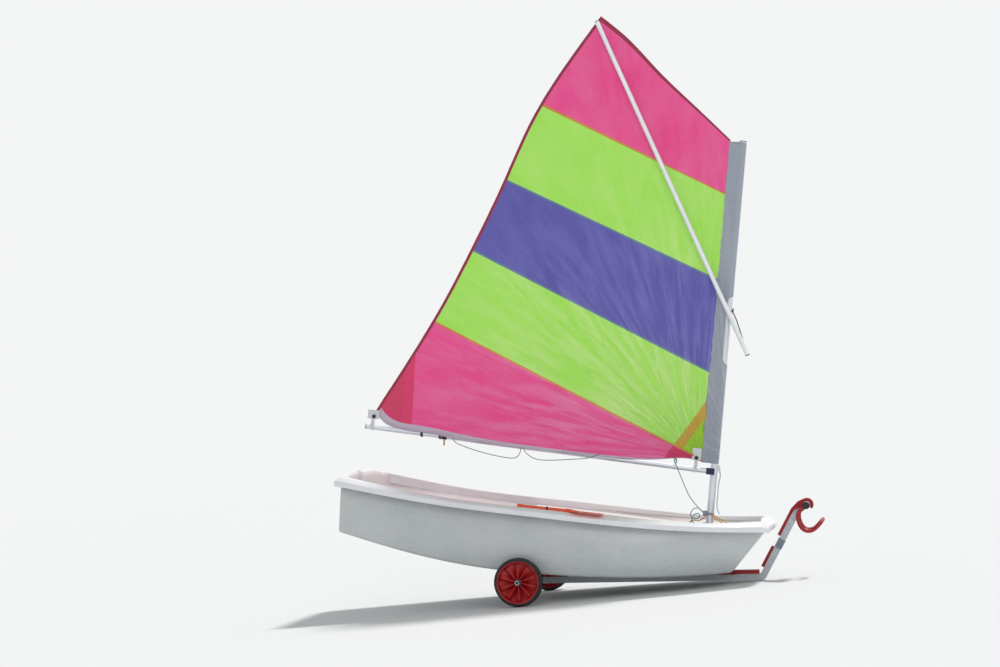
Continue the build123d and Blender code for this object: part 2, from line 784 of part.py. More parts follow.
with BuildPart() as pull_loop:
    for side in (-1, 1):
        line = [Vector(boat_x + x, side * loop_y, z) for x, z in loop_line]
        for start, end in zip(line, line[1:]):
            add(rod(start, end, loop_radius))
            with Locations(end):
                Sphere(loop_radius)
    add(rod(Vector(line[-1].X, -loop_y, line[-1].Z), Vector(line[-1].X, loop_y, line[-1].Z), loop_radius))
    add(rod(grip_starboard, grip_port, grip_radius), mode=Mode.SUBTRACT)
pull_loop.part.label = "pull_loop"
export_step(pull_loop.part, "parts/pull_loop.step")

# Axle with washers, inner collars and cross pins
pin_y = axle_end - 6
with BuildPart() as axle_retainers:
    for side in (-1, 1):
        for inner, outer, radius in ((484, 494, 20), (569, 572, 20)):
            add(rod(Vector(wheel_x, side * inner, wheel_radius), Vector(wheel_x, side * outer, wheel_radius), radius))
    add(rod(Vector(wheel_x, -600, wheel_radius), Vector(wheel_x, 600, wheel_radius), axle_radius), mode=Mode.SUBTRACT)
    for side in (-1, 1):
        add(rod(Vector(wheel_x, side * pin_y, wheel_radius - 22), Vector(wheel_x, side * pin_y, wheel_radius + 22), 2.5))
axle_retainers.part.label = "axle_retainers"
export_step(axle_retainers.part, "parts/axle_retainers.step")

with BuildPart() as axle:
    add(spar(Vector(wheel_x, -axle_end, wheel_radius), Vector(wheel_x, axle_end, wheel_radius), axle_radius, 3.5))
    add(axle_retainers.part, mode=Mode.SUBTRACT)
axle.part.label = "axle"
export_step(axle.part, "parts/axle.step")

axle_line = rod(Vector(wheel_x, -600, wheel_radius), Vector(wheel_x, 600, wheel_radius), axle_radius)
with BuildPart() as axle_saddle:
    add(block(Plane.XY, (wheel_x - 36, wheel_x + 36), (-rear_half - 6, rear_half + 6), (88, 149)))
    add(block(beam, (rear_end, 0), (-rear_half, rear_half), (-50, rear_top)), mode=Mode.SUBTRACT)
    add(axle_line, mode=Mode.SUBTRACT)
    add(hull_outside, mode=Mode.SUBTRACT)
axle_saddle.part.label = "axle_saddle"
export_step(axle_saddle.part, "parts/axle_saddle.step")

chock_y = 250.0
with BuildPart() as hull_chocks:
    for side in (-1, 1):
        add(block(Plane.XY, (wheel_x - 60, wheel_x + 60), (side * chock_y - 40, side * chock_y + 40), (124, 200)))
    add(axle_line, mode=Mode.SUBTRACT)
    add(hull_outside, mode=Mode.SUBTRACT)
hull_chocks.part.label = "hull_chocks"
export_step(hull_chocks.part, "parts/hull_chocks.step")

# Wheels: tyre, rim with its vanes, and bushed hub
vane_count = 10
hub_radius = 22.0
# Fan-shaped vanes of the rim. Columns: distance from the axle, breadth, depth
vane_rows = [(hub_radius - 1, 9, 48), (rim_radius - 7, 42, 20)]
hub_outer = 30.0
hub_inner = -33.0
for side, name in ((1, "left"), (-1, "right")):
    wheel = Plane(
        origin=(wheel_x, side * (wheel_outer - wheel_width / 2), wheel_radius),
        x_dir=(0, side, 0),
        z_dir=(side, 0, 0),
    )
    spin = Axis(wheel.origin, (0, 1, 0))
    disc = Plane(origin=wheel.origin, x_dir=(1, 0, 0), z_dir=(0, side, 0))
    half = wheel_width / 2
    with BuildPart() as tyre:
        with BuildSketch(wheel):
            with BuildLine():
                Line((-half + 2, rim_radius), (half - 2, rim_radius))
                Line((half - 2, rim_radius), (half, rim_radius + 7))
                ThreePointArc((half, rim_radius + 7), (half - 4, wheel_radius - 5), (half - 14, wheel_radius - 1))
                Line((half - 14, wheel_radius - 1), (half - 20, wheel_radius))
                Line((half - 20, wheel_radius), (-half + 20, wheel_radius))
                Line((-half + 20, wheel_radius), (-half + 14, wheel_radius - 1))
                ThreePointArc(
                    (-half + 14, wheel_radius - 1),
                    (-half + 4, wheel_radius - 5),
                    (-half, rim_radius + 7),
                )
                Line((-half, rim_radius + 7), (-half + 2, rim_radius))
            make_face()
        revolve(axis=spin)
    tyre.part.label = "tyre_" + name
    export_step(tyre.part, f"parts/tyre_{name}.step")

    with BuildPart() as vane:
        for reach, breadth, depth in vane_rows:
            with BuildSketch(Plane(origin=wheel.origin + Vector(reach, 0, 0), x_dir=(0, 1, 0), z_dir=(1, 0, 0))):
                Rectangle(depth, breadth)
        loft()
    with BuildPart() as rim:
        with BuildSketch(wheel):
            with BuildLine():
                Polyline(
                    (-28, rim_radius),
                    (28, rim_radius),
                    (28, rim_radius - 8),
                    (4, rim_radius - 8),
                    (4, hub_radius),
                    (-4, hub_radius),
                    (-4, rim_radius - 8),
                    (-28, rim_radius - 8),
                    close=True,
                )
            make_face()
        revolve(axis=spin)
        for number in range(vane_count):
            add(vane.part.rotate(spin, number * 360 / vane_count))
        with BuildSketch(disc.offset(-40)):
            Circle(hub_radius)
        extrude(amount=80, mode=Mode.SUBTRACT)
    rim.part.label = "rim_" + name
    export_step(rim.part, f"parts/rim_{name}.step")

    with BuildPart() as hub:
        with BuildSketch(disc.offset(hub_inner)):
            Circle(hub_radius)
            Circle(axle_radius + bore_clearance, mode=Mode.SUBTRACT)
        extrude(amount=hub_outer - hub_inner)
    hub.part.label = "hub_" + name
    export_step(hub.part, f"parts/hub_{name}.step")
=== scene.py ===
# %% [markdown]
# A small moulded sailing dinghy with a sprit rig, parked on its launching trolley.
# The rigid pieces come as a measured model, and this lesson dresses them: surfaces worked out
# with numpy for the hull, rail, coves, sail, sleeve, wheels and paddle, ropes as curves, and a
# node material for every finish.

# %% Load the measured model
import json
import math

import bmesh
import bpy
import numpy as np
from mathutils import Matrix, Vector


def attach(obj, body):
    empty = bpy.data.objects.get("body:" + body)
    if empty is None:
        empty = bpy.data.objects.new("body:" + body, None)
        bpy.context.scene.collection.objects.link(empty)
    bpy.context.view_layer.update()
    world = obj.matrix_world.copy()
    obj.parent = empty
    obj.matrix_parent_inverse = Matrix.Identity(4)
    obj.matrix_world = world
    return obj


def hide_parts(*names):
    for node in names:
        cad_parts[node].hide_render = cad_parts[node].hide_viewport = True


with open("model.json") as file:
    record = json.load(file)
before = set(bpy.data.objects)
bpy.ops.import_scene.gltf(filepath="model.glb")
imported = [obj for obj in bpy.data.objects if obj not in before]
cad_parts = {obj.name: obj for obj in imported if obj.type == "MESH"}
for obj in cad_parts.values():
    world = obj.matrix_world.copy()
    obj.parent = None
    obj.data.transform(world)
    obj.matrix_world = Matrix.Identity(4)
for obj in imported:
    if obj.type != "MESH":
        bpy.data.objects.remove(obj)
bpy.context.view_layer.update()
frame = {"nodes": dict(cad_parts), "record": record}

# %% [markdown]
# Everything on the boat is easier to place in the boat's own frame, which is pitched bow down,
# and everything on the rig in the mast's frame. Each frame is a small matrix: its columns are
# the directions of forward, port and up. Positions are written in millimetres.

# %% Frames of the boat and of the rig
PITCH = math.radians(11.1)
MAST_RAKE = math.radians(0.6)
BOAT_ORIGIN = np.array([-86.7, 0.0, 543.8])


def tilted_axes(angle):
    """Columns forward, port and up of a frame turned bow down by the angle."""
    return np.array([
        [math.cos(angle), 0.0, math.sin(angle)],
        [0.0, 1.0, 0.0],
        [-math.sin(angle), 0.0, math.cos(angle)],
    ])


BOAT_AXES = tilted_axes(PITCH)
RIG_AXES = tilted_axes(PITCH - MAST_RAKE)
MAST_ORIGIN = BOAT_ORIGIN + BOAT_AXES @ np.array([822.0, 0.0, 0.0])


def boat_point(points):
    """Points in the boat's frame, in mm, as points of the model, in metres."""
    return (np.asarray(points, float) @ BOAT_AXES.T + BOAT_ORIGIN) / 1000


def rig_point(points):
    """Points in the rig's frame, in mm, as points of the model, in metres."""
    return (np.asarray(points, float) @ RIG_AXES.T + MAST_ORIGIN) / 1000


def floor_point(points):
    """Points given from the boat's middle along the floor, in mm, as points of the model."""
    return (np.asarray(points, float) + np.array([BOAT_ORIGIN[0], 0.0, 0.0])) / 1000


print("mast origin", MAST_ORIGIN)

# %% [markdown]
# A surface here is a grid: rows along one parameter and columns along the other. One helper
# turns such a grid of points into a mesh, with quads between neighbouring rows and columns,
# and can close the grid on itself either way. The faces come from whole index arrays, so even
# a fine sail is made in a moment. The others here give a surface its wall, round its edges, and
# draw smooth lines through a few points.

# %% Grid to mesh


def grid_faces(rows, columns, close_rows=False, close_columns=False):
    """Quads between neighbours: corner (r, c) joins (r+1, c), (r+1, c+1) and (r, c+1)."""
    r = np.arange(rows if close_rows else rows - 1)
    c = np.arange(columns if close_columns else columns - 1)
    r, c = np.meshgrid(r, c, indexing="ij")
    r2 = (r + 1) % rows
    c2 = (c + 1) % columns
    quads = [r * columns + c, r2 * columns + c, r2 * columns + c2, r * columns + c2]
    return np.stack(quads, axis=-1).reshape(-1, 4)


def new_object(name, data):
    """An object for a mesh, curve, lamp or camera, linked to the scene."""
    obj = bpy.data.objects.new(name, data)
    bpy.context.scene.collection.objects.link(obj)
    return obj


def mesh_object(name, points, faces, *materials, uv=None, material_rows=None):
    """A mesh object from points in metres and faces, smooth, with its finishes and any UV map."""
    mesh = bpy.data.meshes.new(name)
    points = np.asarray(points, float).reshape(-1, 3)
    mesh.from_pydata(points.tolist(), [], faces if isinstance(faces, list) else faces.tolist())
    if uv is not None:
        layer = mesh.uv_layers.new(name="Surface")
        corners = np.empty(len(mesh.loops), dtype=np.int32)
        mesh.loops.foreach_get("vertex_index", corners)
        layer.data.foreach_set("uv", np.asarray(uv, float).reshape(-1, 2)[corners].ravel())
    mesh.polygons.foreach_set("use_smooth", np.ones(len(mesh.polygons), dtype=bool))
    if material_rows is not None:
        mesh.polygons.foreach_set("material_index", np.asarray(material_rows, dtype=np.int32))
    for material in materials:
        mesh.materials.append(material)
    mesh.update()
    return new_object(name, mesh)


def grid_object(name, grid, *materials, close_rows=False, close_columns=False, caps=False):
    """A mesh from a grid of points (rows, columns, 3); caps closes both ends with one face."""
    rows, columns = grid.shape[:2]
    faces = grid_faces(rows, columns, close_rows, close_columns).tolist()
    if caps:
        faces.append(list(range(columns)))
        faces.append(list(range((rows - 1) * columns, rows * columns))[::-1])
    obj = mesh_object(name, grid, faces, *materials)
    outward(obj)
    return obj


def outward(obj):
    """Merge doubles and turn every face of a closed shape outwards."""
    work = bmesh.new()
    work.from_mesh(obj.data)
    bmesh.ops.remove_doubles(work, verts=work.verts, dist=1e-6)
    bmesh.ops.recalc_face_normals(work, faces=work.faces)
    work.to_mesh(obj.data)
    work.free()
    obj.data.update()


def thicken(obj, wall, offset=0.0):
    """Give a surface a wall, in metres: offset 0 is half to each side, -1 all of it inwards."""
    modifier = obj.modifiers.new("Wall", "SOLIDIFY")
    modifier.thickness = wall
    modifier.offset = offset
    return modifier


def round_edges(obj, width, segments, harden=True, above=30):
    """Round the edges that turn by more than an angle in degrees; the width is in metres."""
    modifier = obj.modifiers.new("Rounded edges", "BEVEL")
    modifier.width = width
    modifier.segments = segments
    modifier.limit_method = "ANGLE"
    modifier.angle_limit = math.radians(above)
    modifier.harden_normals = harden


def joined(name, objects):
    """Several objects made one, at the origin, keeping their material slots."""
    bpy.ops.object.select_all(action="DESELECT")
    for obj in objects:
        obj.select_set(True)
    bpy.context.view_layer.objects.active = objects[0]
    if len(objects) > 1:
        bpy.ops.object.join()
    objects[0].name = name
    objects[0].data.name = name
    return objects[0]


def unit(vectors):
    """A vector, or each row of an array of them, with length one."""
    return vectors / np.linalg.norm(vectors, axis=-1, keepdims=True)


def lengths_along(line):
    """Length of the line up to each of its points, starting with 0."""
    return np.concatenate([[0], np.cumsum(np.linalg.norm(np.diff(line, axis=0), axis=1))])


def smooth_through(knots, values, at):
    """Values between knots on a natural cubic spline, solved as one set of equations.

    The second derivatives m satisfy h[i-1] m[i-1] + 2 (h[i-1] + h[i]) m[i] + h[i] m[i+1]
    = 6 (slope after - slope before), with m = 0 at both ends.
    """
    knots = np.asarray(knots, float)
    values = np.asarray(values, float)
    gaps = np.diff(knots)
    count = len(knots)
    system = np.eye(count)
    side = np.zeros((count,) + values.shape[1:])
    slope = np.diff(values, axis=0) / gaps.reshape((-1,) + (1,) * (values.ndim - 1))
    for i in range(1, count - 1):
        system[i, i - 1:i + 2] = gaps[i - 1], 2 * (gaps[i - 1] + gaps[i]), gaps[i]
        side[i] = 6 * (slope[i] - slope[i - 1])
    bend = np.linalg.solve(system, side)
    at = np.asarray(at, float)
    i = np.clip(np.searchsorted(knots, at) - 1, 0, count - 2)
    shape = (-1,) + (1,) * (values.ndim - 1)
    h = gaps[i].reshape(shape)
    left = (knots[i + 1] - at).reshape(shape)
    right = (at - knots[i]).reshape(shape)
    return (
        bend[i] * left ** 3 / (6 * h) + bend[i + 1] * right ** 3 / (6 * h)
        + (values[i] / h - bend[i] * h / 6) * left
        + (values[i + 1] / h - bend[i + 1] * h / 6) * right
    )


def rounded_polyline(corners, radii, steps=6):
    """Corners of an open line replaced by arcs that touch both runs.

    The arc of radius r leaves each run at r / tan(half the inside angle) from the corner, and
    its points sit at equal angles about the arc's centre.
    """
    corners = np.asarray(corners, float)
    out = [corners[0]]
    for before, corner, after, radius in zip(corners, corners[1:], corners[2:], radii):
        a, b = unit(before - corner), unit(after - corner)
        half = 0.5 * math.acos(np.clip(a @ b, -1, 1))
        centre = corner + unit(a + b) * radius / math.sin(half)
        start = corner + a * radius / math.tan(half) - centre
        end = corner + b * radius / math.tan(half) - centre
        t = np.linspace(0, 1, steps)[:, None]
        turn = math.pi - 2 * half
        arc = (np.sin((1 - t) * turn) * start + np.sin(t * turn) * end) / math.sin(turn)
        out.extend(centre + arc)
    out.append(corners[-1])
    return np.array(out)

# %% [markdown]
# A finish is a small network of shader nodes. Two helpers carry the rest: one turns an sRGB hex
# colour, as a designer writes it, into the linear numbers that the renderer adds up, and one
# adds a node with its settings and links in a single line. The short ones after them mix two
# colours, map a range, do one sum, draw noise, and turn a height into a bumped normal.

# %% Colour and node helpers


def linear(hex_colour):
    """sRGB hex to linear RGBA: each channel above 0.04045 is ((c + 0.055) / 1.055) ** 2.4."""
    channels = [int(hex_colour[i:i + 2], 16) / 255 for i in (0, 2, 4)]
    even = (c / 12.92 if c <= 0.04045 else ((c + 0.055) / 1.055) ** 2.4 for c in channels)
    return (*even, 1.0)


def add_node(tree, kind, inputs=None, **settings):
    """A node with its settings; an input given as a socket is linked, any other is a value."""
    new = tree.nodes.new(kind)
    for key, value in settings.items():
        setattr(new, key, value)
    for key, value in (inputs or {}).items():
        if isinstance(value, bpy.types.NodeSocket):
            tree.links.new(value, new.inputs[key])
        else:
            new.inputs[key].default_value = value
    return new


def finish_material(name, **values):
    """A material with one Principled shader, its constants set straight on the sockets."""
    material = bpy.data.materials.new(name)
    material.use_nodes = True
    tree = material.node_tree
    shader = tree.nodes["Principled BSDF"]
    for key, value in values.items():
        shader.inputs[key.replace("_", " ")].default_value = value
    return material, tree, shader


def mixed(tree, factor, first, second):
    """A colour between two others, by the factor."""
    mix = add_node(tree, "ShaderNodeMix", data_type="RGBA")
    tree.links.new(factor, mix.inputs["Factor"])
    for socket, colour in ((mix.inputs[6], first), (mix.inputs[7], second)):
        if isinstance(colour, bpy.types.NodeSocket):
            tree.links.new(colour, socket)
        else:
            socket.default_value = colour
    return mix.outputs[2]


def ramp(tree, factor, low, high, start=0.0, end=1.0):
    """The factor mapped from low..high to start..end, clamped."""
    return add_node(tree, "ShaderNodeMapRange", {
        "Value": factor, "From Min": low, "From Max": high, "To Min": start, "To Max": end,
    }).outputs["Result"]


def maths(tree, operation, first, second):
    """The result of one Math node; the order of the inputs is that of the operation."""
    return add_node(tree, "ShaderNodeMath", {0: first, 1: second}, operation=operation).outputs[0]


def noise(tree, where, scale, detail, roughness, distortion=0.0):
    """Noise at the given coordinates, scale in waves per unit of them."""
    return add_node(tree, "ShaderNodeTexNoise", {
        "Vector": where, "Scale": scale, "Detail": detail, "Roughness": roughness,
        "Distortion": distortion,
    }).outputs["Fac"]


def paint(tree, shader, factor, first, second):
    """Base colour between two hex colours, or other colours, by the factor."""
    first, second = (linear(c) if isinstance(c, str) else c for c in (first, second))
    tree.links.new(mixed(tree, factor, first, second), shader.inputs["Base Color"])


def bump(tree, shader, height, distance, strength=1.0):
    """Turn a height into a bumped normal; distance is the height's real size in metres."""
    values = {"Height": height, "Distance": distance, "Strength": strength}
    made = add_node(tree, "ShaderNodeBump", values)
    tree.links.new(made.outputs["Normal"], shader.inputs["Normal"])


def object_noise(tree, scale, detail=3.0, roughness=0.5, stretch=(1, 1, 1)):
    """Noise on Object coordinates, scale in waves per metre, stretched by the given factors."""
    where = add_node(tree, "ShaderNodeTexCoord").outputs["Object"]
    placed = add_node(tree, "ShaderNodeMapping", {"Vector": where, "Scale": stretch})
    return noise(tree, placed.outputs["Vector"], scale, detail, roughness)


# %% [markdown]
# Gelcoat is the sprayed polyester skin of a moulded boat: white, hard and glossy, and after a
# few seasons faintly chalky, with fine scuffs. A coat over a slightly rough base gives that.
# The noise is slow (hand-sized patches) for the chalking and fine for the scuffs.

# %% Gelcoat


def gelcoat(name, colour, chalk, roughness):
    """White moulded skin: slow patches towards the chalk colour, and faint scuffs in roughness."""
    material, tree, shader = finish_material(name, Coat_Weight=0.25, Coat_Roughness=0.12)
    patches = ramp(tree, object_noise(tree, 5.0, 4.0, 0.6), 0.35, 0.75)
    paint(tree, shader, patches, colour, chalk)
    rubbed = object_noise(tree, 60.0, 5.0, 0.7, (0.25, 1, 1))
    scuffs = ramp(tree, rubbed, 0.4, 0.75, roughness, roughness + 0.12)
    tree.links.new(scuffs, shader.inputs["Roughness"])
    bump(tree, shader, object_noise(tree, 7.0, 1.0), 0.0008, 0.3)
    return material


# The outside skin is the same white gelcoat as the rail, darkened to grey-white as painted shade on
# the flared topside
HULL_WHITE_IN_PAINTED_SHADE = gelcoat("Gelcoat white, moulded outside, darkened as painted shade", "CDD1D1", "C2C7C7", 0.24)
RAIL_WHITE = gelcoat("Gelcoat white, hand-polished rail", "F0F0F3", "E6E6EA", 0.20)
# The inside is white gelcoat with a painted pink cast of bounce light from the sail
INSIDE_WHITE_WITH_PAINTED_BOUNCE = gelcoat("Gelcoat warm white, moulded inside", "EDE6E6", "E0D8D8", 0.30)

# %% [markdown]
# The hull is drawn by a short table of sections, the same numbers as the measured model has.
# Between the sections each number follows a natural cubic spline, so the sides come out fair.
# Each section is a flat bottom, a chine and a flared side; the chine is softened by an arc, as a mould
# needs, and Solidify then gives the skin its thickness, with the inside finish, white warmed by
# painted pink bounce light, on its inner face, and the outside finish darkened as painted shade. The
# skin's top edge stays hidden inside the rail, lower towards the bow.

# %% Hull moulding
WALL = 6.0
RAIL_COVER = 8.0
BOW_COVER, BOW_COVER_FROM = 18.0, 1000.0
CHINE_RADIUS, BOTTOM_RADIUS, TRANSOM_RADIUS = 22.0, 500.0, 14.0
CASE_X = (62.0, 402.0)
CASE_HALF = 17.0
MIRROR = np.array([1, -1, 1])
# x at the rail and the chine, half breadth and height of the rail, the same of the chine, keel
SECTIONS = np.array([
    (-1158, -1158, 472, 0, 410, -298, 8),
    (-620, -620, 518, -36, 446, -380, 14),
    (-60, -60, 537, -43, 461, -397, 18),
    (470, 455, 502, -42, 414, -364, 8),
    (860, 770, 408, -26, 322, -325, 3),
    (1154, 980, 288, 0, 208, -293, 1),
], float)


def hull_row(rail_x):
    """The table's numbers at any place along the rail, by spline through its rows."""
    return smooth_through(SECTIONS[:, 0], SECTIONS, rail_x)


def hull_section(row):
    """One section, starboard rail to port rail: straight runs joined by arcs at the chines."""
    rail_x, chine_x, rail_y, rail_z, chine_y, chine_z, keel = row
    forward = (rail_x - BOW_COVER_FROM) / (SECTIONS[-1, 0] - BOW_COVER_FROM)
    cover = RAIL_COVER + BOW_COVER * min(max(forward, 0), 1)
    top = np.array([rail_x, rail_y, rail_z - cover])
    chine = np.array([chine_x, chine_y, chine_z])
    corners = [top * MIRROR, chine * MIRROR, (chine_x, 0, chine_z - keel), chine, top]
    return rounded_polyline(corners, (CHINE_RADIUS, BOTTOM_RADIUS, CHINE_RADIUS), 7)


def cut_slot(skin):
    """Cut the bottom along the four sides of the daggerboard case and take out what is inside."""
    work = bmesh.new()
    work.from_mesh(skin.data)
    for axis, places in ((0, CASE_X), (1, (-CASE_HALF, CASE_HALF))):
        for place in places:
            # Only faces of the bottom: not the sides, and not the transoms' many-sided caps
            near = [f for f in work.faces if abs(f.calc_center_median().y) < 0.32
                    and f.calc_center_median().z < 0.26 and len(f.verts) < 8]
            around = {part for f in near for part in (f, *f.edges, *f.verts)}
            point = boat_point([place if axis == 0 else 0.0, place if axis == 1 else 0.0, 0.0])
            bmesh.ops.bisect_plane(
                work, geom=list(around), plane_co=point, plane_no=BOAT_AXES[:, axis],
            )
    inside = []
    for face in work.faces:
        centre = BOAT_AXES.T @ (np.array(face.calc_center_median()) * 1000 - BOAT_ORIGIN)
        if CASE_X[0] < centre[0] < CASE_X[1] and abs(centre[1]) < CASE_HALF and centre[2] < -200:
            inside.append(face)
    bmesh.ops.delete(work, geom=inside, context="FACES")
    work.to_mesh(skin.data)
    work.free()


def hull_skin(name):
    """Outer skin: sections at even steps along the rail, closed by a flat transom at each end."""
    stations = hull_row(np.linspace(SECTIONS[0, 0], SECTIONS[-1, 0], 73))
    grid = boat_point(np.array([hull_section(row) for row in stations]))
    skin = grid_object(name, grid, HULL_WHITE_IN_PAINTED_SHADE, INSIDE_WHITE_WITH_PAINTED_BOUNCE, caps=True)
    cut_slot(skin)
    round_edges(skin, TRANSOM_RADIUS / 1000, 4, harden=False, above=40)
    thicken(skin, WALL / 1000, -1).material_offset = 1
    return skin


hull = hull_skin("hull_moulding")
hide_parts("hull_shell")
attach(hull, "boat_on_trolley")
print("hull faces", len(hull.data.polygons))

# %% [markdown]
# The rail is one moulded profile carried round the whole boat: along each side, round the four
# corners on a small arc, and over the transoms, where its crown swells and the bow's edge juts
# out. Carrying a profile along a path keeps it even. At each station the profile stands on a
# plane whose x points away from the boat and whose y points up, and four numbers shape it.

# %% Gunwale rail
RAIL_WIDTH = 40.0
RAIL_DEPTH = 46.0
CORNER_RADIUS = 34.0
# x, half breadth, height, inward heading in degrees, rise of the crown
RAIL_LINE = np.array([
    (-1130, 474, -3, -6, 12), (-620, 518, -36, -4, 0), (-60, 537, -43, 1, 0),
    (470, 502, -42, 9, 0), (860, 408, -26, 19, 0), (1104, 310, -6, 24, 10),
], float)
# Over the transoms: share of the half breadth, rise of the section, its crown, its edge, its growth
ARCHES = {
    -1: np.array([(0, 0, 33, 18, 0), (0.78, 0, 28, 14, 0), (1, 0, 12, 0, 0)], float),
    1: np.array([(0, 18, 4, 4, 24), (0.78, 8, 14, 2, 10), (1, 0, 10, 0, 0)], float),
}


def rail_profile():
    """Closed section of the rail: thin lip inside, rounded crest, sloping top, upright face."""
    foot = (-18, -RAIL_DEPTH)
    lip = [(-11, -30), (-11, 1), (8, -1.5)]
    line = [foot, *lip, (RAIL_WIDTH, -18), (RAIL_WIDTH, -RAIL_DEPTH), foot]
    return rounded_polyline(line, (12, 7, 48, 9, 6), 8)[:-1]


def rail_path():
    """Half the loop, bow to stern on the port side: x, y, z, heading, crown, edge and growth.

    Along the side the numbers follow splines through the table and the heading is square to
    it; at a corner the heading turns evenly about a centre 34 mm inside; over a transom the
    rise, crown, edge and growth follow a spline through the arch, mirrored at the centreline.
    """
    x = np.linspace(RAIL_LINE[0, 0], RAIL_LINE[-1, 0], 61)
    side = smooth_through(RAIL_LINE[:, 0], RAIL_LINE[:, 1:], x)
    none = np.zeros(len(x))
    heading = np.radians(side[:, 2])
    side = np.column_stack([x, side[:, 0], side[:, 1], heading, side[:, 3], none, none])[::-1]
    parts = []
    for end, sign in ((side[0], 1), (side[-1], -1)):
        centre = end[:2] - CORNER_RADIUS * np.array([math.sin(end[3]), math.cos(end[3])])
        across = np.linspace(0, 1, 17)
        arch = ARCHES[sign]
        both = np.vstack([arch[:0:-1] * np.array([-1, 1, 1, 1, 1]), arch])
        rise, crown, edge, growth = smooth_through(both[:, 0], both[:, 1:], across).T
        same = np.ones(17)
        flat = np.column_stack([
            (centre[0] + sign * CORNER_RADIUS) * same, across * centre[1], end[2] + rise,
            sign * math.pi / 2 * same, crown, edge, growth,
        ])
        turn = np.linspace(sign * math.pi / 2, end[3], 12)[1:-1]
        same = np.ones(len(turn))
        arc = np.column_stack([
            centre[0] + CORNER_RADIUS * np.sin(turn), centre[1] + CORNER_RADIUS * np.cos(turn),
            end[2] * same, turn, end[4] * same, 0 * same, 0 * same,
        ])
        parts.append(np.vstack([flat, arc]))
    return np.vstack([parts[0], side, parts[1][::-1]])


def rail_grid():
    """The profile set on every station, port side then its mirror image, as one closed loop.

    With t the square of the share of the width from the crest, a point of the top rises by
    crown * (1 - t) + edge * t, fading to nothing at the foot, and moves out by growth * share.
    Over the transoms the inner face also stands 3 mm further in, over the cove's edge.
    """
    path = rail_path()
    away = np.column_stack([np.sin(path[:, 3]), np.cos(path[:, 3]), np.zeros(len(path))])
    profile = rail_profile()
    out, up = profile[None, :, 0], profile[None, :, 1]
    share = np.clip((out + 4) / (RAIL_WIDTH + 4), 0, 1)
    raised = np.where(share > 0, (up + RAIL_DEPTH) / 28, (up + 30) / 20).clip(0, 1)
    crown, edge, growth = (path[:, None, column] for column in (4, 5, 6))
    inward = np.where(share > 0, 0, 3) * np.sin(path[:, None, 3]) ** 4
    grid = path[:, None, :3] + (out + growth * share - inward)[:, :, None] * away[:, None, :]
    grid[:, :, 2] += up + raised * (crown * (1 - share ** 2) + edge * share ** 2)
    mirror = grid[1:-1][::-1] * MIRROR
    return boat_point(np.vstack([grid, mirror]))


rail = grid_object("gunwale_rail", rail_grid(), RAIL_WHITE, close_rows=True, close_columns=True)
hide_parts("gunwale")
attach(rail, "boat_on_trolley")
print("rail faces", len(rail.data.polygons))

# %% [markdown]
# Inside, each end of the moulding is coved: the wall runs across under the rail and sweeps round
# both corners on a wide radius into the sides, down to the bottom. Its line is known at two
# heights, and every other height lies on straight lines between them. The top turns over in a
# small ledge that runs out into the rail; the foot ends inside the thickness of the bottom. Where
# the wall would leave the boat's side, it is held in the middle of the side's skin.

# %% Coved ends
# height, x of the wall across and its half breadth, x and half breadth where it meets the side
STERN_COVE = np.array([(0, -1132, 473, -1000, 494), (-320, -1132, 405, -1000, 420)], float)
BOW_COVE = np.array([(0, 1128, 294, 1000, 362), (-320, 938, 220, 798, 310)], float)
COVE_COLUMNS = 121
COVE_SKIN = 2.0


def cove_line(row, radius):
    """The wall's line at one height, port to starboard, as points at equal steps."""
    x, y, side_x, side_y = row
    corners = [(side_x, side_y), (x, y), (x, -y), (side_x, -side_y)]
    line = rounded_polyline(corners, (radius, radius), 14)
    along = lengths_along(line)
    at = np.linspace(0, along[-1], COVE_COLUMNS)
    return np.column_stack([np.interp(at, along, line[:, 0]), np.interp(at, along, line[:, 1])])


def crest_height(points):
    """Height of the rail's crest near points (x, y): a mean of its stations, weighted by nearness.

    The weight of a station at distance d is exp(-(d / 20 mm) squared).
    """
    path = rail_path()
    path = np.vstack([path, path * np.array([1, -1, 1, 1, 1, 1, 1])])
    away = np.linalg.norm(points[:, None, :] - path[None, :, :2], axis=2)
    weight = np.exp(-((away - away.min(axis=1, keepdims=True)) / 20) ** 2)
    return (weight * (path[:, 2] + path[:, 4])[None, :]).sum(axis=1) / weight.sum(axis=1)


def cove_grid(table, radius, sink):
    """Rows from an edge that lies below the rail's crest by the sink, in mm, down to the bottom."""
    high, low = (cove_line(row[1:], radius) for row in table)
    drop = (low - high) / (table[0, 0] - table[1, 0])
    run = np.gradient(high, axis=0)
    out = unit(np.column_stack([run[:, 1], -run[:, 0]]))
    out *= np.sign((out * (high - [table[0, 3] / 2, 0])).sum(axis=1))[:, None]
    top = crest_height(high + out * 22) - sink
    rows = hull_row(np.linspace(SECTIONS[0, 0], SECTIONS[-1, 0], 2400))
    foot_x, foot_y = low[:, 0], np.abs(low[:, 1])
    chine_y, chine_z, keel = (np.interp(foot_x, rows[:, 1], rows[:, k]) for k in (4, 5, 6))
    foot = chine_z + 3 - keel * (1 - np.clip(foot_y / chine_y, 0, 1))
    # How far a row stands out from the wall, and its height: the ledge's three, then the wall's
    levels = [(24, top - 1), (5, top - 1), (1.5, top - 3)]
    levels += [(0, (top - 8) * (1 - t) + foot * t) for t in np.linspace(0, 1, 14)]
    grid = []
    for reach, height in levels:
        line = high + drop * (table[0, 0] - height)[:, None] + out * reach
        part = (height[:, None] - rows[:, 5]) / (rows[:, 3] - rows[:, 5])
        side_x = rows[:, 1] + (rows[:, 0] - rows[:, 1]) * part
        side_y = rows[:, 4] + (rows[:, 2] - rows[:, 4]) * part
        nearest = np.argmin(np.abs(side_x - line[:, :1]), axis=1)
        limit = side_y[np.arange(len(line)), nearest] - WALL / 2
        line[:, 1] = np.clip(line[:, 1], -limit, limit)
        grid.append(np.column_stack([line, height]))
    return boat_point(np.array(grid))


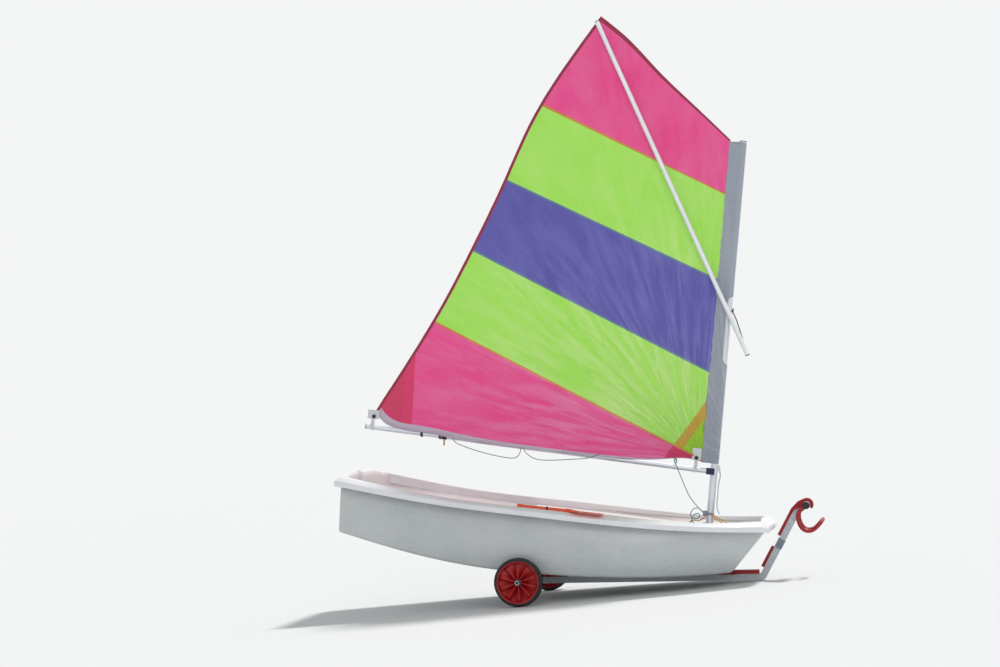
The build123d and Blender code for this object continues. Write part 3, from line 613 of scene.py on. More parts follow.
for name, node, table, radius, sink in (("stern_cove", "stern_liner", STERN_COVE, 75, 6),
                                        ("bow_cove", "bow_liner", BOW_COVE, 90, 27)):
    cove = grid_object(name, cove_grid(table, radius, sink), INSIDE_WHITE_WITH_PAINTED_BOUNCE)
    thicken(cove, COVE_SKIN / 1000)
    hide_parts(node)
    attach(cove, "boat_on_trolley")
    print(name, len(cove.data.polygons))

# %% [markdown]
# The sail is woven nylon in five bands, sewn edge to edge, with a reinforced patch at each
# corner and a folded tape along its free edges. Its outline is a grid: each row runs from the
# free edge to the mast along one seam direction, and rows sit exactly on the seams, so a face
# belongs to one cloth and the bands meet in clean lines. The belly, the creases from folding
# and the fan of wrinkles at the tack are small moves square to the cloth.

# %% Outline and seams of the sail
# Each row below runs from the free edge to the mast sleeve, in the rig's frame: x is negative
# aft of the mast and z is up. The first is the head, the last the foot, the others are seams.
LUFF_X = -70.0
SEAMS = np.array([
    # x and z at the free edge, x and z at the sleeve
    (-850, 2702, LUFF_X, 2062),
    (-1151, 2183, LUFF_X, 1757),
    (-1315, 1748, LUFF_X, 1279),
    (-1470, 1341, LUFF_X, 770),
    (-1652, 921, LUFF_X, 286),
    (-1931, 389, LUFF_X, 279),
], float)
HEAD = np.array([(-850, 2702), (-685, 2585), (-505, 2421), (-290, 2243), (LUFF_X, 2062)], float)
FOOT = np.array([
    (-1931, 389), (-1885, 338), (-1675, 297), (-1449, 276), (-1032, 255), (-622, 254),
    (-300, 272), (-126, 289), (LUFF_X, 279),
], float)
BANDS = ("pink", "green", "violet", "green", "pink")
BAND_ROWS = (34, 26, 26, 26, 40)
# Numbers of the rows that are no band: 10 + k for what lies below band k, 20 for the head's tape
BELOW_BAND, HEAD_TAPE = 10, 20
SAIL_COLUMNS = 150
TAPE, OVERLAP, CLOTH = 17.0, 10.0, 1.2


def even_line(points, fractions):
    """Points of a line at given fractions of its length, on a spline through its corners."""
    along = lengths_along(points)
    return smooth_through(along / along[-1], points, fractions)


def sail_rows():
    """Rows of the sail as pairs: fraction down the seams, and the band below each row."""
    heights = np.abs(np.diff(SEAMS[:, 1] + SEAMS[:, 3])) / 2
    rows, bands = [], []
    for band, (count, height) in enumerate(zip(BAND_ROWS, heights)):
        low = TAPE / height if band == 0 else 0.0
        high = 1 - (OVERLAP if band < 4 else TAPE) / height
        steps = np.concatenate([[0.0] if band == 0 else [], np.linspace(low, high, count)])
        rows.extend(band + steps)
        bands.extend([band] * (len(steps) - 1) + [BELOW_BAND + band])
    bands[0] = HEAD_TAPE
    rows.append(5.0)
    return np.array(rows), np.array(bands)


def sail_plan():
    """Flat sail: rows and columns of (x, z), with the tape's width kept at the free edge."""
    rows, bands = sail_rows()
    span = np.linspace(0, 1, SAIL_COLUMNS)
    lines = [even_line(HEAD, span)]
    lines += [seam[:2] * (1 - span[:, None]) + seam[2:] * span[:, None] for seam in SEAMS[1:5]]
    lines.append(even_line(FOOT, span))
    lines = np.array(lines)
    k = np.minimum(rows.astype(int), 4)
    part = (rows - k)[:, None, None]
    plan = lines[k] * (1 - part) + lines[k + 1] * part
    free_edge = smooth_through(np.arange(6), SEAMS[:, :2], rows)
    plan += (free_edge - plan[:, 0])[:, None, :] * ((1 - span) ** 3)[None, :, None]
    lengths = np.linalg.norm(plan[:, -1] - plan[:, 0], axis=1)
    first = TAPE / lengths[:, None]
    inner = first + (1 - first) * np.linspace(0, 1, SAIL_COLUMNS - 1)
    where = np.concatenate([np.zeros((len(rows), 1)), inner], axis=1)
    where *= SAIL_COLUMNS - 1
    low = np.minimum(where.astype(int), SAIL_COLUMNS - 2)
    share = (where - low)[:, :, None]
    r = np.arange(len(rows))[:, None]
    return plan[r, low] * (1 - share) + plan[r, low + 1] * share, bands


def step(value, low, high):
    """Smooth step: 3 t squared minus 2 t cubed, with t the clamped share between low and high."""
    t = np.clip((value - low) / (high - low), 0, 1)
    return t * t * (3 - 2 * t)


def sail_relief(x, z):
    """Move of the cloth to port, in mm: belly, skirt beside the boom, fan at the tack, creases."""
    chord = np.clip((x - LUFF_X) / (-1700), 0, 1)
    belly = 9.0 * np.sin(np.pi * chord ** 0.75) * step(z, 420, 900) * (1 - step(z, 1900, 2650))
    skirt = -17.0 * (1 - step(z, 345, 470)) * (1 - step(x, -520, -190)) * step(x, -1880, -1700)
    dx, dz = x + 95, z - 320
    reach = np.hypot(dx, dz)
    bearing = np.arctan2(dz, -dx)
    fan = 3.2 * np.sin(bearing * 31 + 0.6 * np.sin(reach / 140)) * np.exp(-reach / 420)
    fan *= step(reach, 60, 170)
    fan += 2.2 * np.sin(bearing * 53 + 2.0) * np.exp(-reach / 650) * step(reach, 120, 300)
    edge = np.exp(-np.abs(x - LUFF_X) / 260)
    luff = 1.6 * edge * np.sin(z / 23 + np.sin(z / 71) * 2.0) * step(-x, 70, 110)
    wave = 4.4 * np.sin((z + 0.07 * x) / 31 + 0.9 * np.sin(x / 260)) * (1 - step(z, 520, 760))
    wave += 2.3 * np.sin((z - 0.12 * x) / 19 + 1.3 * np.sin(x / 170 + 1)) * (1 - step(z, 600, 900))
    wave *= step(z, 330, 420)
    crumple = 1.4 * np.sin(x / 37 + 2 * np.sin(z / 90)) * np.sin(z / 41 + 2 * np.sin(x / 110))
    crumple += 0.9 * np.sin((x + z) / 24) * np.sin((x - z) / 33)
    hem = step(z, 280, 360)
    return belly + skirt + (fan + luff + wave + crumple) * (0.25 + 0.75 * hem)


# %% [markdown]
# Sail nylon is a tight plain weave with a coating: saturated colour, a soft shine, and threads about a
# third of a millimetre apart, far too fine to show here, so the weave is drawn at two millimetres and
# kept faint. Where two cloths overlap in a seam their colours darken together, and the small creases
# that fan out from the tack carry painted highlights: paler lines where they would catch the light.

# %% Sail cloths
TACK_X, TACK_Z = -0.10, 0.30
# Colour, its paler patches, and the painted highlight on the crease lines, where the cloth would catch
# the light
SAIL_COLOURS = {
    "pink": ("FF4895", "FF5EA1", "FF90BE"),
    "green": ("AEF858", "BAFB66", "DAFF9C"),
    "violet": ("5D58B0", "6661BA", "8580D0"),
    "overlap warm": ("D98A3A", "E09A48", "EBAF66"),
    "overlap cool": ("5E7FA0", "6C8CA8", "86A3BA"),
    "tape": ("9E1F42", "AC2A4C", "C04A68"),
    "foot tape": ("C9B6CB", "D4C4D6", "E2D6E4"),
}


def fold_lines(tree, where):
    """Fine creases that fan out from the tack: noise on (bearing, reach), drawn out along it.

    The bearing of a point is the arctangent of its height over its distance aft, both from the
    tack; the creases fade out 1.7 m away.
    """
    both = {0: where, 1: (TACK_X, TACK_Z, 0)}
    offset = add_node(tree, "ShaderNodeVectorMath", both, operation="SUBTRACT").outputs[0]
    apart = add_node(tree, "ShaderNodeSeparateXYZ", {0: offset})
    aft = maths(tree, "MULTIPLY", apart.outputs["X"], -1.0)
    bearing = maths(tree, "ARCTAN2", apart.outputs["Y"], aft)
    reach = add_node(tree, "ShaderNodeVectorMath", both, operation="DISTANCE").outputs["Value"]
    polar = add_node(tree, "ShaderNodeCombineXYZ", {"X": bearing, "Y": reach})
    drawn = add_node(tree, "ShaderNodeMapping", {"Vector": polar.outputs[0], "Scale": (22, 3.0, 1)})
    lines = noise(tree, drawn.outputs[0], 1.0, 4.0, 0.62, 0.4)
    fade = ramp(tree, reach, 0.5, 1.7, 1.0, 0.25)
    return maths(tree, "MULTIPLY", ramp(tree, lines, 0.40, 0.68), fade)


def sail_cloth(name, colour, lighter, crease_highlight):
    """Coated nylon on the UV map in metres: slow patches, painted highlights on the crease lines, and
    a faint weave.
    """
    material, tree, shader = finish_material(
        "Coated sail nylon, " + name, Sheen_Weight=0.15, Sheen_Roughness=0.4, Roughness=0.42,
    )
    where = add_node(tree, "ShaderNodeUVMap", uv_map="Surface").outputs["UV"]
    tone = ramp(tree, noise(tree, where, 3.5, 5.0, 0.6), 0.35, 0.7)
    base = mixed(tree, tone, linear(colour), linear(lighter))
    folds = fold_lines(tree, where)
    # Painted highlight: the crease lines are mixed towards the paler highlight colour
    base = mixed(tree, folds, base, linear(crease_highlight))
    threads = add_node(tree, "ShaderNodeTexChecker", {"Vector": where, "Scale": 500.0})
    height = maths(tree, "MULTIPLY", threads.outputs["Fac"], 0.03)
    height = maths(tree, "ADD", noise(tree, where, 26.0, 4.0, 0.55), height)
    bump(tree, shader, maths(tree, "ADD", folds, height), 0.008, 0.7)
    return material, tree, shader, where, base


def between(tree, where, x_weight, z_weight, low, high, soft):
    """1 where x_weight * u + z_weight * v lies between low and high, in metres, with soft edges."""
    both = {0: where, 1: (x_weight, z_weight, 0)}
    line = add_node(tree, "ShaderNodeVectorMath", both, operation="DOT_PRODUCT").outputs["Value"]
    rise = ramp(tree, line, low - soft, low + soft)
    return maths(tree, "MULTIPLY", rise, ramp(tree, line, high - soft, high + soft, 1.0, 0.0))


# Across the free edge of the patch at the tack, and along the leech's patch at the clew
TACK_EDGE = (0.855, -0.519)
CLEW_EDGE = (1.0, 0.04)
sail_materials = []
for cloth, shades in SAIL_COLOURS.items():
    material, tree, shader, where, base = sail_cloth(cloth, *shades)
    if cloth == "green":
        # Corner patch at the tack: deeper green, its free edge a strip with pink cloth behind it
        patch = between(tree, where, *TACK_EDGE, -0.384, 0.2, 0.0015)
        base = mixed(tree, patch, base, linear("AEE83C"))
        strip = between(tree, where, *TACK_EDGE, -0.384, -0.333, 0.0015)
        base = mixed(tree, strip, base, linear("DDB548"))
    if cloth == "pink":
        # Corner patch at the tack, and at the clew two more layers, each edge a step towards red
        tack = between(tree, where, *TACK_EDGE, -0.387, 0.2, 0.0015)
        base = mixed(tree, tack, base, linear("EE4478"))
        height = add_node(tree, "ShaderNodeSeparateXYZ", {0: where}).outputs["Y"]
        low_part = ramp(tree, height, 0.9, 0.85)
        for edge, share, colour in ((-1.700, 1.0, "EC3B72"), (-1.755, 0.6, "DB3A63")):
            layer = between(tree, where, *CLEW_EDGE, -2.1, edge, 0.002)
            amount = maths(tree, "MULTIPLY", maths(tree, "MULTIPLY", layer, low_part), share)
            base = mixed(tree, amount, base, linear(colour))
    tree.links.new(base, shader.inputs["Base Color"])
    sail_materials.append(material)

# %% Sail
plan, bands = sail_plan()
relief = sail_relief(plan[:, :, 0], plan[:, :, 1])
sail_points = rig_point(np.dstack([plan[:, :, 0], relief, plan[:, :, 1]]))
cloths = list(SAIL_COLOURS)
below_bands = ("overlap warm", "overlap cool", "overlap cool", "overlap warm", "foot tape")
cloth_of_row = dict(enumerate(BANDS)) | dict(enumerate(below_bands, BELOW_BAND))
cloth_of_row[HEAD_TAPE] = "tape"
row_cloth = np.array([cloths.index(cloth_of_row[band]) for band in bands])
face_cloth = np.repeat(row_cloth[:, None], SAIL_COLUMNS - 1, axis=1)
face_cloth[:, 0] = cloths.index("tape")
sail = mesh_object(
    "sail_cloth", sail_points, grid_faces(*plan.shape[:2]), *sail_materials, uv=plan / 1000,
    material_rows=face_cloth.ravel(),
)
thicken(sail, CLOTH / 1000)
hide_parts("sail")
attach(sail, "rig")

# %% [markdown]
# The luff sleeve is a pocket of white sail polyester that slides over the mast; its grey-blue colour
# is painted shade, and a bright strip along the fore edge is a painted highlight. Its section is part
# of a circle round the mast and two straight runs that meet aft, where it is sewn to the sail. A
# window is cut in its front where the sprit's tackle is made fast: at those heights the section starts
# further round, and easing that start in and out gives the rounded corners.

# %% Luff sleeve
SLEEVE_FOOT, SLEEVE_TOP = 277.0, 2052.0
SLEEVE_RADIUS = 22.5
SLEEVE_AFT = -75.0
SLEEVE_ROUND = 0.228
WINDOW_LOW, WINDOW_HIGH = 822.0, 1200.0
WINDOW_CUT = 0.30


def sleeve_section(share):
    """Points of half the section, fore to aft, at shares 0..1 of its length.

    The arc covers the angle whose cosine is minus radius / distance to the aft point, and the
    straight run from its end to the aft point is the rest.
    """
    touch = math.acos(SLEEVE_RADIUS / SLEEVE_AFT)
    arc = SLEEVE_RADIUS * touch
    run = math.sqrt(SLEEVE_AFT ** 2 - SLEEVE_RADIUS ** 2)
    s = share * (arc + run)
    angle = np.minimum(s, arc) / SLEEVE_RADIUS
    x, y = SLEEVE_RADIUS * np.cos(angle), SLEEVE_RADIUS * np.sin(angle)
    past = np.clip((s - arc) / run, 0, 1)
    x = np.where(s > arc, x + (SLEEVE_AFT - x) * past, x)
    y = np.where(s > arc, y * (1 - past), y)
    return x, y


def sleeve_grid():
    """Heights by section: starboard fore edge, round aft, to the port fore edge."""
    heights = np.unique(np.concatenate([
        np.linspace(SLEEVE_FOOT, SLEEVE_TOP, 150),
        np.linspace(WINDOW_LOW - 1, WINDOW_LOW + 45, 14),
        np.linspace(WINDOW_HIGH - 45, WINDOW_HIGH + 1, 14),
    ]))
    low = np.clip((heights - WINDOW_LOW) / 40, 0, 1)
    high = np.clip((WINDOW_HIGH - heights) / 40, 0, 1)
    inside = np.sqrt(1 - (1 - np.minimum(low, high)) ** 2)
    start = WINDOW_CUT * inside
    half = np.linspace(0, 1, 34)
    share = start[:, None] + (1 - start[:, None]) * half[None, :]
    x, y = sleeve_section(share)
    z = np.repeat(heights[:, None], 34, axis=1)
    ripple = 1.3 * np.sin(z / 47 + 2 * np.sin(z / 130)) * step(-x, 5, 45) * (1 - step(-x, 60, 75))
    pucker = 0.7 * np.sin(z / 11 + np.sin(z / 60)) * step(-x, 25, 60)
    near = np.dstack([x, -y + ripple + pucker, z])
    far = np.dstack([x, y + ripple + pucker, z])[:, ::-1]
    return np.concatenate([near, far[:, 1:]], axis=1), heights


# The sleeve's cloth is white; its grey-blue colours are painted shade
material, tree, shader, where, base = sail_cloth(
    "sleeve white polyester", "A3AAB8", "ABB2BE", "B4BAC6",
)
# Painted highlight: a bright strip along the fore edge, where light falls on the sleeve's front,
# brighter than the rest
paint(tree, shader, between(tree, where, 1.0, 0.0, 0.010, 0.218, 0.002), "F2F3F5", base)
sleeve_points, heights = sleeve_grid()
sleeve_rows, sleeve_columns = sleeve_points.shape[:2]
around = np.linspace(0, SLEEVE_ROUND, sleeve_columns)
sleeve_uv = np.dstack(np.broadcast_arrays(around[None, :], heights[:, None] / 1000))
luff_sleeve = mesh_object(
    "luff_sleeve_cloth", rig_point(sleeve_points), grid_faces(sleeve_rows, sleeve_columns),
    material, uv=sleeve_uv,
)
outward(luff_sleeve)
thicken(luff_sleeve, CLOTH / 1000)
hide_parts("luff_sleeve")
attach(luff_sleeve, "rig")

# %% [markdown]
# The trolley's wheels are one red plastic moulding with a thin rubber tyre. The moulding's web
# is folded like a fan: it goes in and out of the wheel's plane ten times round, which makes a
# thin skin stiff. In numbers, the web's height is a saw-tooth of the angle, deep at the hub and
# shallow at the rim. Tyre, rim and hub are profiles turned round the axle.

# %% Wheels
WHEEL_CENTRE = np.array([-202.5, 534.0, 130.0])
WEB_FROM, WEB_TO, WEB_WALL = 15.0, 105.0, 4.0
VANES = 10
FOLD = 0.78


def turned(profile, side, steps, shift=None):
    """A profile of (across, radius) turned about the axle; shift adds to the radius per point."""
    angle = np.linspace(0, 2 * math.pi, steps, endpoint=False)[:, None]
    across = np.broadcast_to(profile[None, :, 0], (steps, len(profile)))
    radius = np.broadcast_to(profile[None, :, 1], (steps, len(profile)))
    if shift is not None:
        radius = radius + shift(angle, across, radius)
    points = np.dstack([radius * np.cos(angle), side * across, radius * np.sin(angle)])
    return floor_point(points + WHEEL_CENTRE * np.array([1, side, 1]))


def tread(angle, across, radius):
    """Shallow slanted grooves: 1.6 mm deep where a square wave of angle and place is low."""
    wave = np.sin(48 * (angle + 0.010 * np.abs(across)))
    deep = step(wave, -0.2, -0.75) * step(radius, 126, 129)
    ring = np.exp(-((np.abs(across) - 7) / 1.6) ** 2) * step(radius, 126, 129)
    return -1.6 * np.maximum(deep, ring)


def web_grid(side):
    """The fan: ten blades, each a slow rise over most of its share and a short steep fall.

    The fold is 16 mm deep each way at the hub and 8 mm at the rim, where it dies away.
    """
    angle = np.linspace(0, 2 * math.pi, VANES * 24, endpoint=False)[None, :]
    share = np.linspace(0, 1, 26)[:, None]
    radius = WEB_FROM + (WEB_TO - WEB_FROM) * share
    turn = VANES * angle / (2 * math.pi) + 0.25
    part = turn - np.floor(turn)
    wave = np.where(part < FOLD, 2 * part / FOLD - 1, 1 - 2 * (part - FOLD) / (1 - FOLD))
    wave = np.sin(wave * math.pi / 2) * 0.35 + wave * 0.65
    depth = (16 - 8 * share) * (1 - 0.8 * step(share, 0.9, 1.0))
    height = wave * depth
    points = np.dstack([radius * np.cos(angle), side * height + 0 * radius, radius * np.sin(angle)])
    return floor_point(points + WHEEL_CENTRE * np.array([1, side, 1]))


def moulded_plastic(name, colour, worn, roughness, grain=350.0):
    """Injection-moulded plastic: spark-eroded grain about 3 mm apart, and paler rubbed patches."""
    material, tree, shader = finish_material(name)
    rubbed = ramp(tree, object_noise(tree, 14.0, 5.0, 0.65), 0.52, 0.78)
    paint(tree, shader, rubbed, colour, worn)
    dulled = ramp(tree, object_noise(tree, 30.0, 3.0), 0.3, 0.7, roughness, roughness + 0.18)
    tree.links.new(dulled, shader.inputs["Roughness"])
    bump(tree, shader, object_noise(tree, grain, 2.0), 0.0006, 0.5)
    return material


RED_PLASTIC = moulded_plastic("Polypropylene, red, moulded wheel", "A80F16", "B83A36", 0.38)
TYRE_RUBBER = moulded_plastic("Rubber, black, moulded tyre", "1B1B1D", "3B3934", 0.62, 500.0)
GREY_PLASTIC = moulded_plastic("Polyamide, grey, hub bush", "8A8C90", "9C9DA0", 0.45)
BLACK_PLASTIC = moulded_plastic("Polyamide, black, moulded fittings", "17181A", "2C2D30", 0.42)

TYRE_PROFILE = rounded_polyline(
    [(0, 107), (30, 107), (32, 116), (30, 126), (16, 130), (-16, 130), (-30, 126), (-32, 116),
     (-30, 107), (0, 107)],
    (0.8, 4, 7, 14, 14, 7, 4, 0.8), 6,
)[:-1]
RIM_PROFILE = rounded_polyline(
    [(0, 103.5), (24, 103.5), (30, 106), (32.5, 111), (31, 113), (28, 111), (25, 107.4), (-25, 107.4),
     (-28, 111), (-31, 113), (-32.5, 111), (-30, 106), (-24, 103.5), (0, 103.5)],
    (5, 3, 1.5, 1, 1, 1, 1, 1, 1, 1.5, 3, 5), 4,
)[:-1]
HUB_PROFILE = rounded_polyline(
    [(-32, 12.7), (32, 12.7), (32, 15.6), (-32, 15.6), (-32, 12.7)], (0.5, 1, 1), 4,
)[:-1]
COLLAR_PROFILE = rounded_polyline(
    [(32.6, 12.55), (40, 12.55), (40, 14.8), (32.6, 16.5), (32.6, 12.55)], (0.3, 1, 0.5), 4,
)[:-1]


def wheel_ring(name, profile, side, steps, material, shift=None):
    """A closed profile turned all the way round the axle, as one object with its finish."""
    grid = turned(profile, side, steps, shift)
    return grid_object(name, grid, material, close_rows=True, close_columns=True)


for side, name in ((1, "left"), (-1, "right")):
    tyre = wheel_ring("tyre_" + name + "_rubber", TYRE_PROFILE, side, 384, TYRE_RUBBER, tread)
    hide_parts("tyre_" + name)
    edge = wheel_ring("rim_edge_" + name, RIM_PROFILE, side, 120, RED_PLASTIC)
    web = grid_object("rim_web_" + name, web_grid(side), RED_PLASTIC, close_columns=True)
    thicken(web, WEB_WALL / 1000)
    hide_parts("rim_" + name)
    hub = wheel_ring("hub_bush_" + name, HUB_PROFILE, side, 72, GREY_PLASTIC)
    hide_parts("hub_" + name)
    for piece in (tyre, edge, web, hub):
        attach(piece, "wheel_" + name)
    print("wheel", name, len(tyre.data.polygons), len(edge.data.polygons), len(web.data.polygons))

# %% [markdown]
# Most rigid pieces keep their measured shapes and only get their real finishes: drawn
# aluminium for the spars, hot-dip galvanised steel with its slow grey spangle for the trolley,
# closed-cell foam for the red pads, and moulded polyamide for the small fittings.

# %% Metals and foams


def spar_metal(name, colour, darker, metallic=0.85):
    """Anodised drawn tube: fine lines along the spar and slow dull patches."""
    material, tree, shader = finish_material(name, Metallic=metallic)
    patches = ramp(tree, object_noise(tree, 6.0, 4.0, 0.6), 0.35, 0.7)
    paint(tree, shader, patches, colour, darker)
    dulled = ramp(tree, object_noise(tree, 40.0, 4.0, 0.6), 0.3, 0.75, 0.3, 0.48)
    tree.links.new(dulled, shader.inputs["Roughness"])
    bump(tree, shader, object_noise(tree, 260.0, 2.0, 0.5, (1, 1, 0.06)), 0.0003, 0.4)
    return material


def galvanised_steel(name):
    """Hot-dip zinc: crystals about 12 mm across in slightly different greys, dull sheen."""
    material, tree, shader = finish_material(name, Metallic=0.75)
    where = add_node(tree, "ShaderNodeTexCoord").outputs["Object"]
    crystals = add_node(tree, "ShaderNodeTexVoronoi", {"Vector": where, "Scale": 85.0})
    grey = add_node(tree, "ShaderNodeSeparateColor", {0: crystals.outputs["Color"]}).outputs[0]
    tone = maths(tree, "MULTIPLY", grey, object_noise(tree, 7.0, 4.0))
    paint(tree, shader, ramp(tree, tone, 0.1, 0.6), "A9AEB3", "C2C6CA")
    tree.links.new(ramp(tree, grey, 0, 1, 0.42, 0.58), shader.inputs["Roughness"])
    bump(tree, shader, object_noise(tree, 120.0, 3.0), 0.0005, 0.4)
    return material


def pad_foam(name, colour, darker):
    """Closed-cell foam with a smooth skin: faint dimples 6 mm apart, no shine."""
    material, tree, shader = finish_material(
        name, Sheen_Weight=0.2, Sheen_Roughness=0.5, Roughness=0.7,
    )
    patches = ramp(tree, object_noise(tree, 22.0, 4.0, 0.6), 0.4, 0.7)
    paint(tree, shader, patches, colour, darker)
    bump(tree, shader, object_noise(tree, 170.0, 3.0), 0.001, 0.6)
    return material


SPAR_METAL = spar_metal("Aluminium, anodised drawn tube", "DDE0E6", "CDD2D9")
GALVANISED = galvanised_steel("Steel, hot-dip galvanised")
SPRIT_METAL = spar_metal("Aluminium, white anodised sprit", "F4F6F8", "E8EBEE", 0.35)
STAINLESS = spar_metal("Stainless steel, polished strip", "C9CACC", "B4B5B8")
RED_FOAM = pad_foam("Foam, red closed-cell pad", "A51319", "8E0F15")
BLUE_PLASTIC = moulded_plastic("Polyamide, navy, moulded boom jaw", "1C2442", "2B3454", 0.4)
RED_TUBE = moulded_plastic("PVC, red, dipped handle", "A3121A", "B5353A", 0.3)
ORANGE_PLASTIC = moulded_plastic("Polyethylene, orange, paddle", "E9572A", "F06A3C", 0.4)
CLAMP_GREY = moulded_plastic("Steel, grey painted clamp", "7C8796", "8F99A6", 0.4)
WEBBING = moulded_plastic("PVC-coated white strap", "DCDDE0", "C9CACE", 0.45)
BLACK_RUBBER = moulded_plastic("Rubber, black, hull chock", "222224", "3A3936", 0.7, 400.0)

SLOT_FINISH = {
    "gelcoat_hull": HULL_WHITE_IN_PAINTED_SHADE, "gelcoat_rail": RAIL_WHITE, "gelcoat_inside": INSIDE_WHITE_WITH_PAINTED_BOUNCE,
    "black_plastic": BLACK_PLASTIC, "stainless": STAINLESS, "orange_plastic": ORANGE_PLASTIC,
    "spar_aluminium": SPAR_METAL, "blue_plastic": BLUE_PLASTIC, "webbing": WEBBING,
    "galvanised": GALVANISED, "red_foam": RED_FOAM, "clamp_grey": CLAMP_GREY, "red_tube": RED_TUBE,
    "black_rubber": BLACK_RUBBER, "red_plastic": RED_PLASTIC, "grey_plastic": GREY_PLASTIC,
}
for part in frame["record"]["subparts"]:
    node = frame["nodes"].get(part["node"])
    finish = SLOT_FINISH.get(part["material_slot"])
    if node is not None and finish is not None:
        node.data.materials.clear()
        node.data.materials.append(finish)
frame["nodes"]["sprit"].data.materials[0] = SPRIT_METAL
print("finishes", len(SLOT_FINISH))

# %% [markdown]
# The foam pads have cut edges that wear round, and the inside mouldings, chocks and clamps have
# the small radius of their mould. Each starts as a copy of the measured piece: its flat faces are
# merged, so that only real edges are left, and a bevel rounds those.

# %% Foam pads, and other blocks with rounded edges


def rounded_copy(node, name, radius, body, slot):
    """A piece the size of a measured one, with its edges rounded by the radius in mm."""
    source = frame["nodes"][node]
    mesh = source.data.copy()
    mesh.transform(source.matrix_world)
    mesh.materials.clear()
    mesh.materials.append(SLOT_FINISH[slot])
    work = bmesh.new()
    work.from_mesh(mesh)
    bmesh.ops.remove_doubles(work, verts=work.verts, dist=1e-6)
    bmesh.ops.dissolve_limit(work, angle_limit=math.radians(2), verts=work.verts, edges=work.edges)
    bmesh.ops.recalc_face_normals(work, faces=work.faces)
    for face in work.faces:
        face.smooth = True
    work.to_mesh(mesh)
    work.free()
    obj = new_object(name, mesh)
    round_edges(obj, radius / 1000, 4, above=35)
    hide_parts(node)
    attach(obj, body)
    return obj


for node, radius in (("upright_pads", 3.5), ("bow_pad", 4.0), ("grip_wrap", 2.5)):
    foam = rounded_copy(node, node + "_foam", radius, "boat_on_trolley", "red_foam")
MOULDED = [
    ("side_tanks", 7.0, "gelcoat_inside"), ("midship_thwart", 5.0, "gelcoat_inside"),
    ("mast_thwart", 6.0, "gelcoat_inside"), ("daggerboard_case", 4.0, "gelcoat_inside"),
    ("upright_clamp", 2.0, "clamp_grey"), ("hull_chocks", 3.0, "black_rubber"),
    ("mainsheet_eye", 1.5, "black_plastic"),
]
for node, radius, slot in MOULDED:
    rounded_copy(node, node + "_moulded", radius, "boat_on_trolley", slot)
rounded_copy("boom_jaw", "boom_jaw_moulded", 3.0, "rig", "blue_plastic")

# %% [markdown]
# A small part is either a rounded block, given by its low and high corner in the boat's or the
# rig's frame, or a round bar along a line. Both are short grids, so one joined object can hold
# several of them.

# %% Rounded blocks and bars


def rounded_block(name, place, x, y, z, radius, material):
    """A block between two corners in the given frame, edges rounded by the radius in mm."""
    corners = np.array([(a, b, c) for a in x for b in y for c in z], float)
    faces = [(0, 1, 3, 2), (4, 6, 7, 5), (0, 4, 5, 1), (2, 3, 7, 6), (0, 2, 6, 4), (1, 5, 7, 3)]
    obj = mesh_object(name, place(corners), [list(face) for face in faces], material)
    outward(obj)
    round_edges(obj, radius / 1000, 3)
    return obj


def directions_about(start, end, angle):
    """Unit directions square to the line from start to end, one for each angle about it."""
    along = unit(end - start)
    first = unit(np.cross(along, [0, 1, 0] if abs(along[1]) < 0.9 else [1, 0, 0]))
    return np.cos(angle)[:, None] * first + np.sin(angle)[:, None] * np.cross(along, first)


def turned_along(name, place, start, end, profile, material, sides=24):
    """A profile of (share of the way, radius in mm) turned about the line from start to end."""
    start, end, profile = (np.asarray(given, float) for given in (start, end, profile))
    around = directions_about(start, end, np.linspace(0, 2 * math.pi, sides, endpoint=False))
    grid = start + profile[:, None, :1] * (end - start) + profile[:, None, 1:] * around
    return grid_object(name, place(grid), material, close_columns=True, caps=True)


def evaluated_mesh(obj):
    """The mesh that an object shows, with its modifiers or its curve's thickness worked out."""
    bpy.context.view_layer.update()
    shown = obj.evaluated_get(bpy.context.evaluated_depsgraph_get())
    return bpy.data.meshes.new_from_object(shown)


def with_modifiers(obj):
    """The object with its modifiers made part of its mesh, ready to be joined to others."""
    made = evaluated_mesh(obj)
    obj.modifiers.clear()
    obj.data = made
    return obj


def trim(name, parts, body, replaces=()):
    """Several small parts as one piece that rides on a body; the measured parts it replaces are
    hidden.
    """
    piece = joined(name, [with_modifiers(part) for part in parts])
    if replaces:
        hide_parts(*replaces)
    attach(piece, body)


# %% Fittings on the mast
# A white horn cleat ahead of the mast, a bracket behind its foot, a small cleat for the sprit
WHITE_PLASTIC = moulded_plastic("Polyamide, white, moulded cleat", "E3E0DF", "CFCDCB", 0.4)
SMALL_GREY = moulded_plastic("Polyamide, grey-blue, mast bracket", "8C929F", "9DA2AC", 0.45)
trim("halyard_cleat", [
    rounded_block("cleat_stem", rig_point, (19, 27), (-5, 5), (240, 256), 2, WHITE_PLASTIC),
    turned_along("cleat_horns", rig_point, (31, 0, 226), (26, 0, 272),
                 [(0, 1.5), (0.05, 3.4), (0.3, 5), (0.5, 5.6), (0.7, 5), (0.95, 3.4), (1, 1.5)],
                 WHITE_PLASTIC),
    rounded_block("sprit_cleat_stem", rig_point, (19, 24), (-4, 4), (1116, 1128), 1.5,
                  BLACK_PLASTIC),
    turned_along("sprit_cleat_horns", rig_point, (26.5, 0, 1106), (26.5, 0, 1138),
                 [(0, 1.2), (0.06, 2.6), (0.5, 3.6), (0.94, 2.6), (1, 1.2)], BLACK_PLASTIC),
    rounded_block("foot_bracket", rig_point, (-41, -17), (-9, 9), (-15, 15), 4, SMALL_GREY),
    turned_along("foot_bracket_strap", rig_point, (0, 0, -7), (0, 0, 7),
                 [(0, 20.2), (0, 21.6), (1, 21.6), (1, 20.2)], SMALL_GREY, 48),
], "rig", ["mast_fittings"])

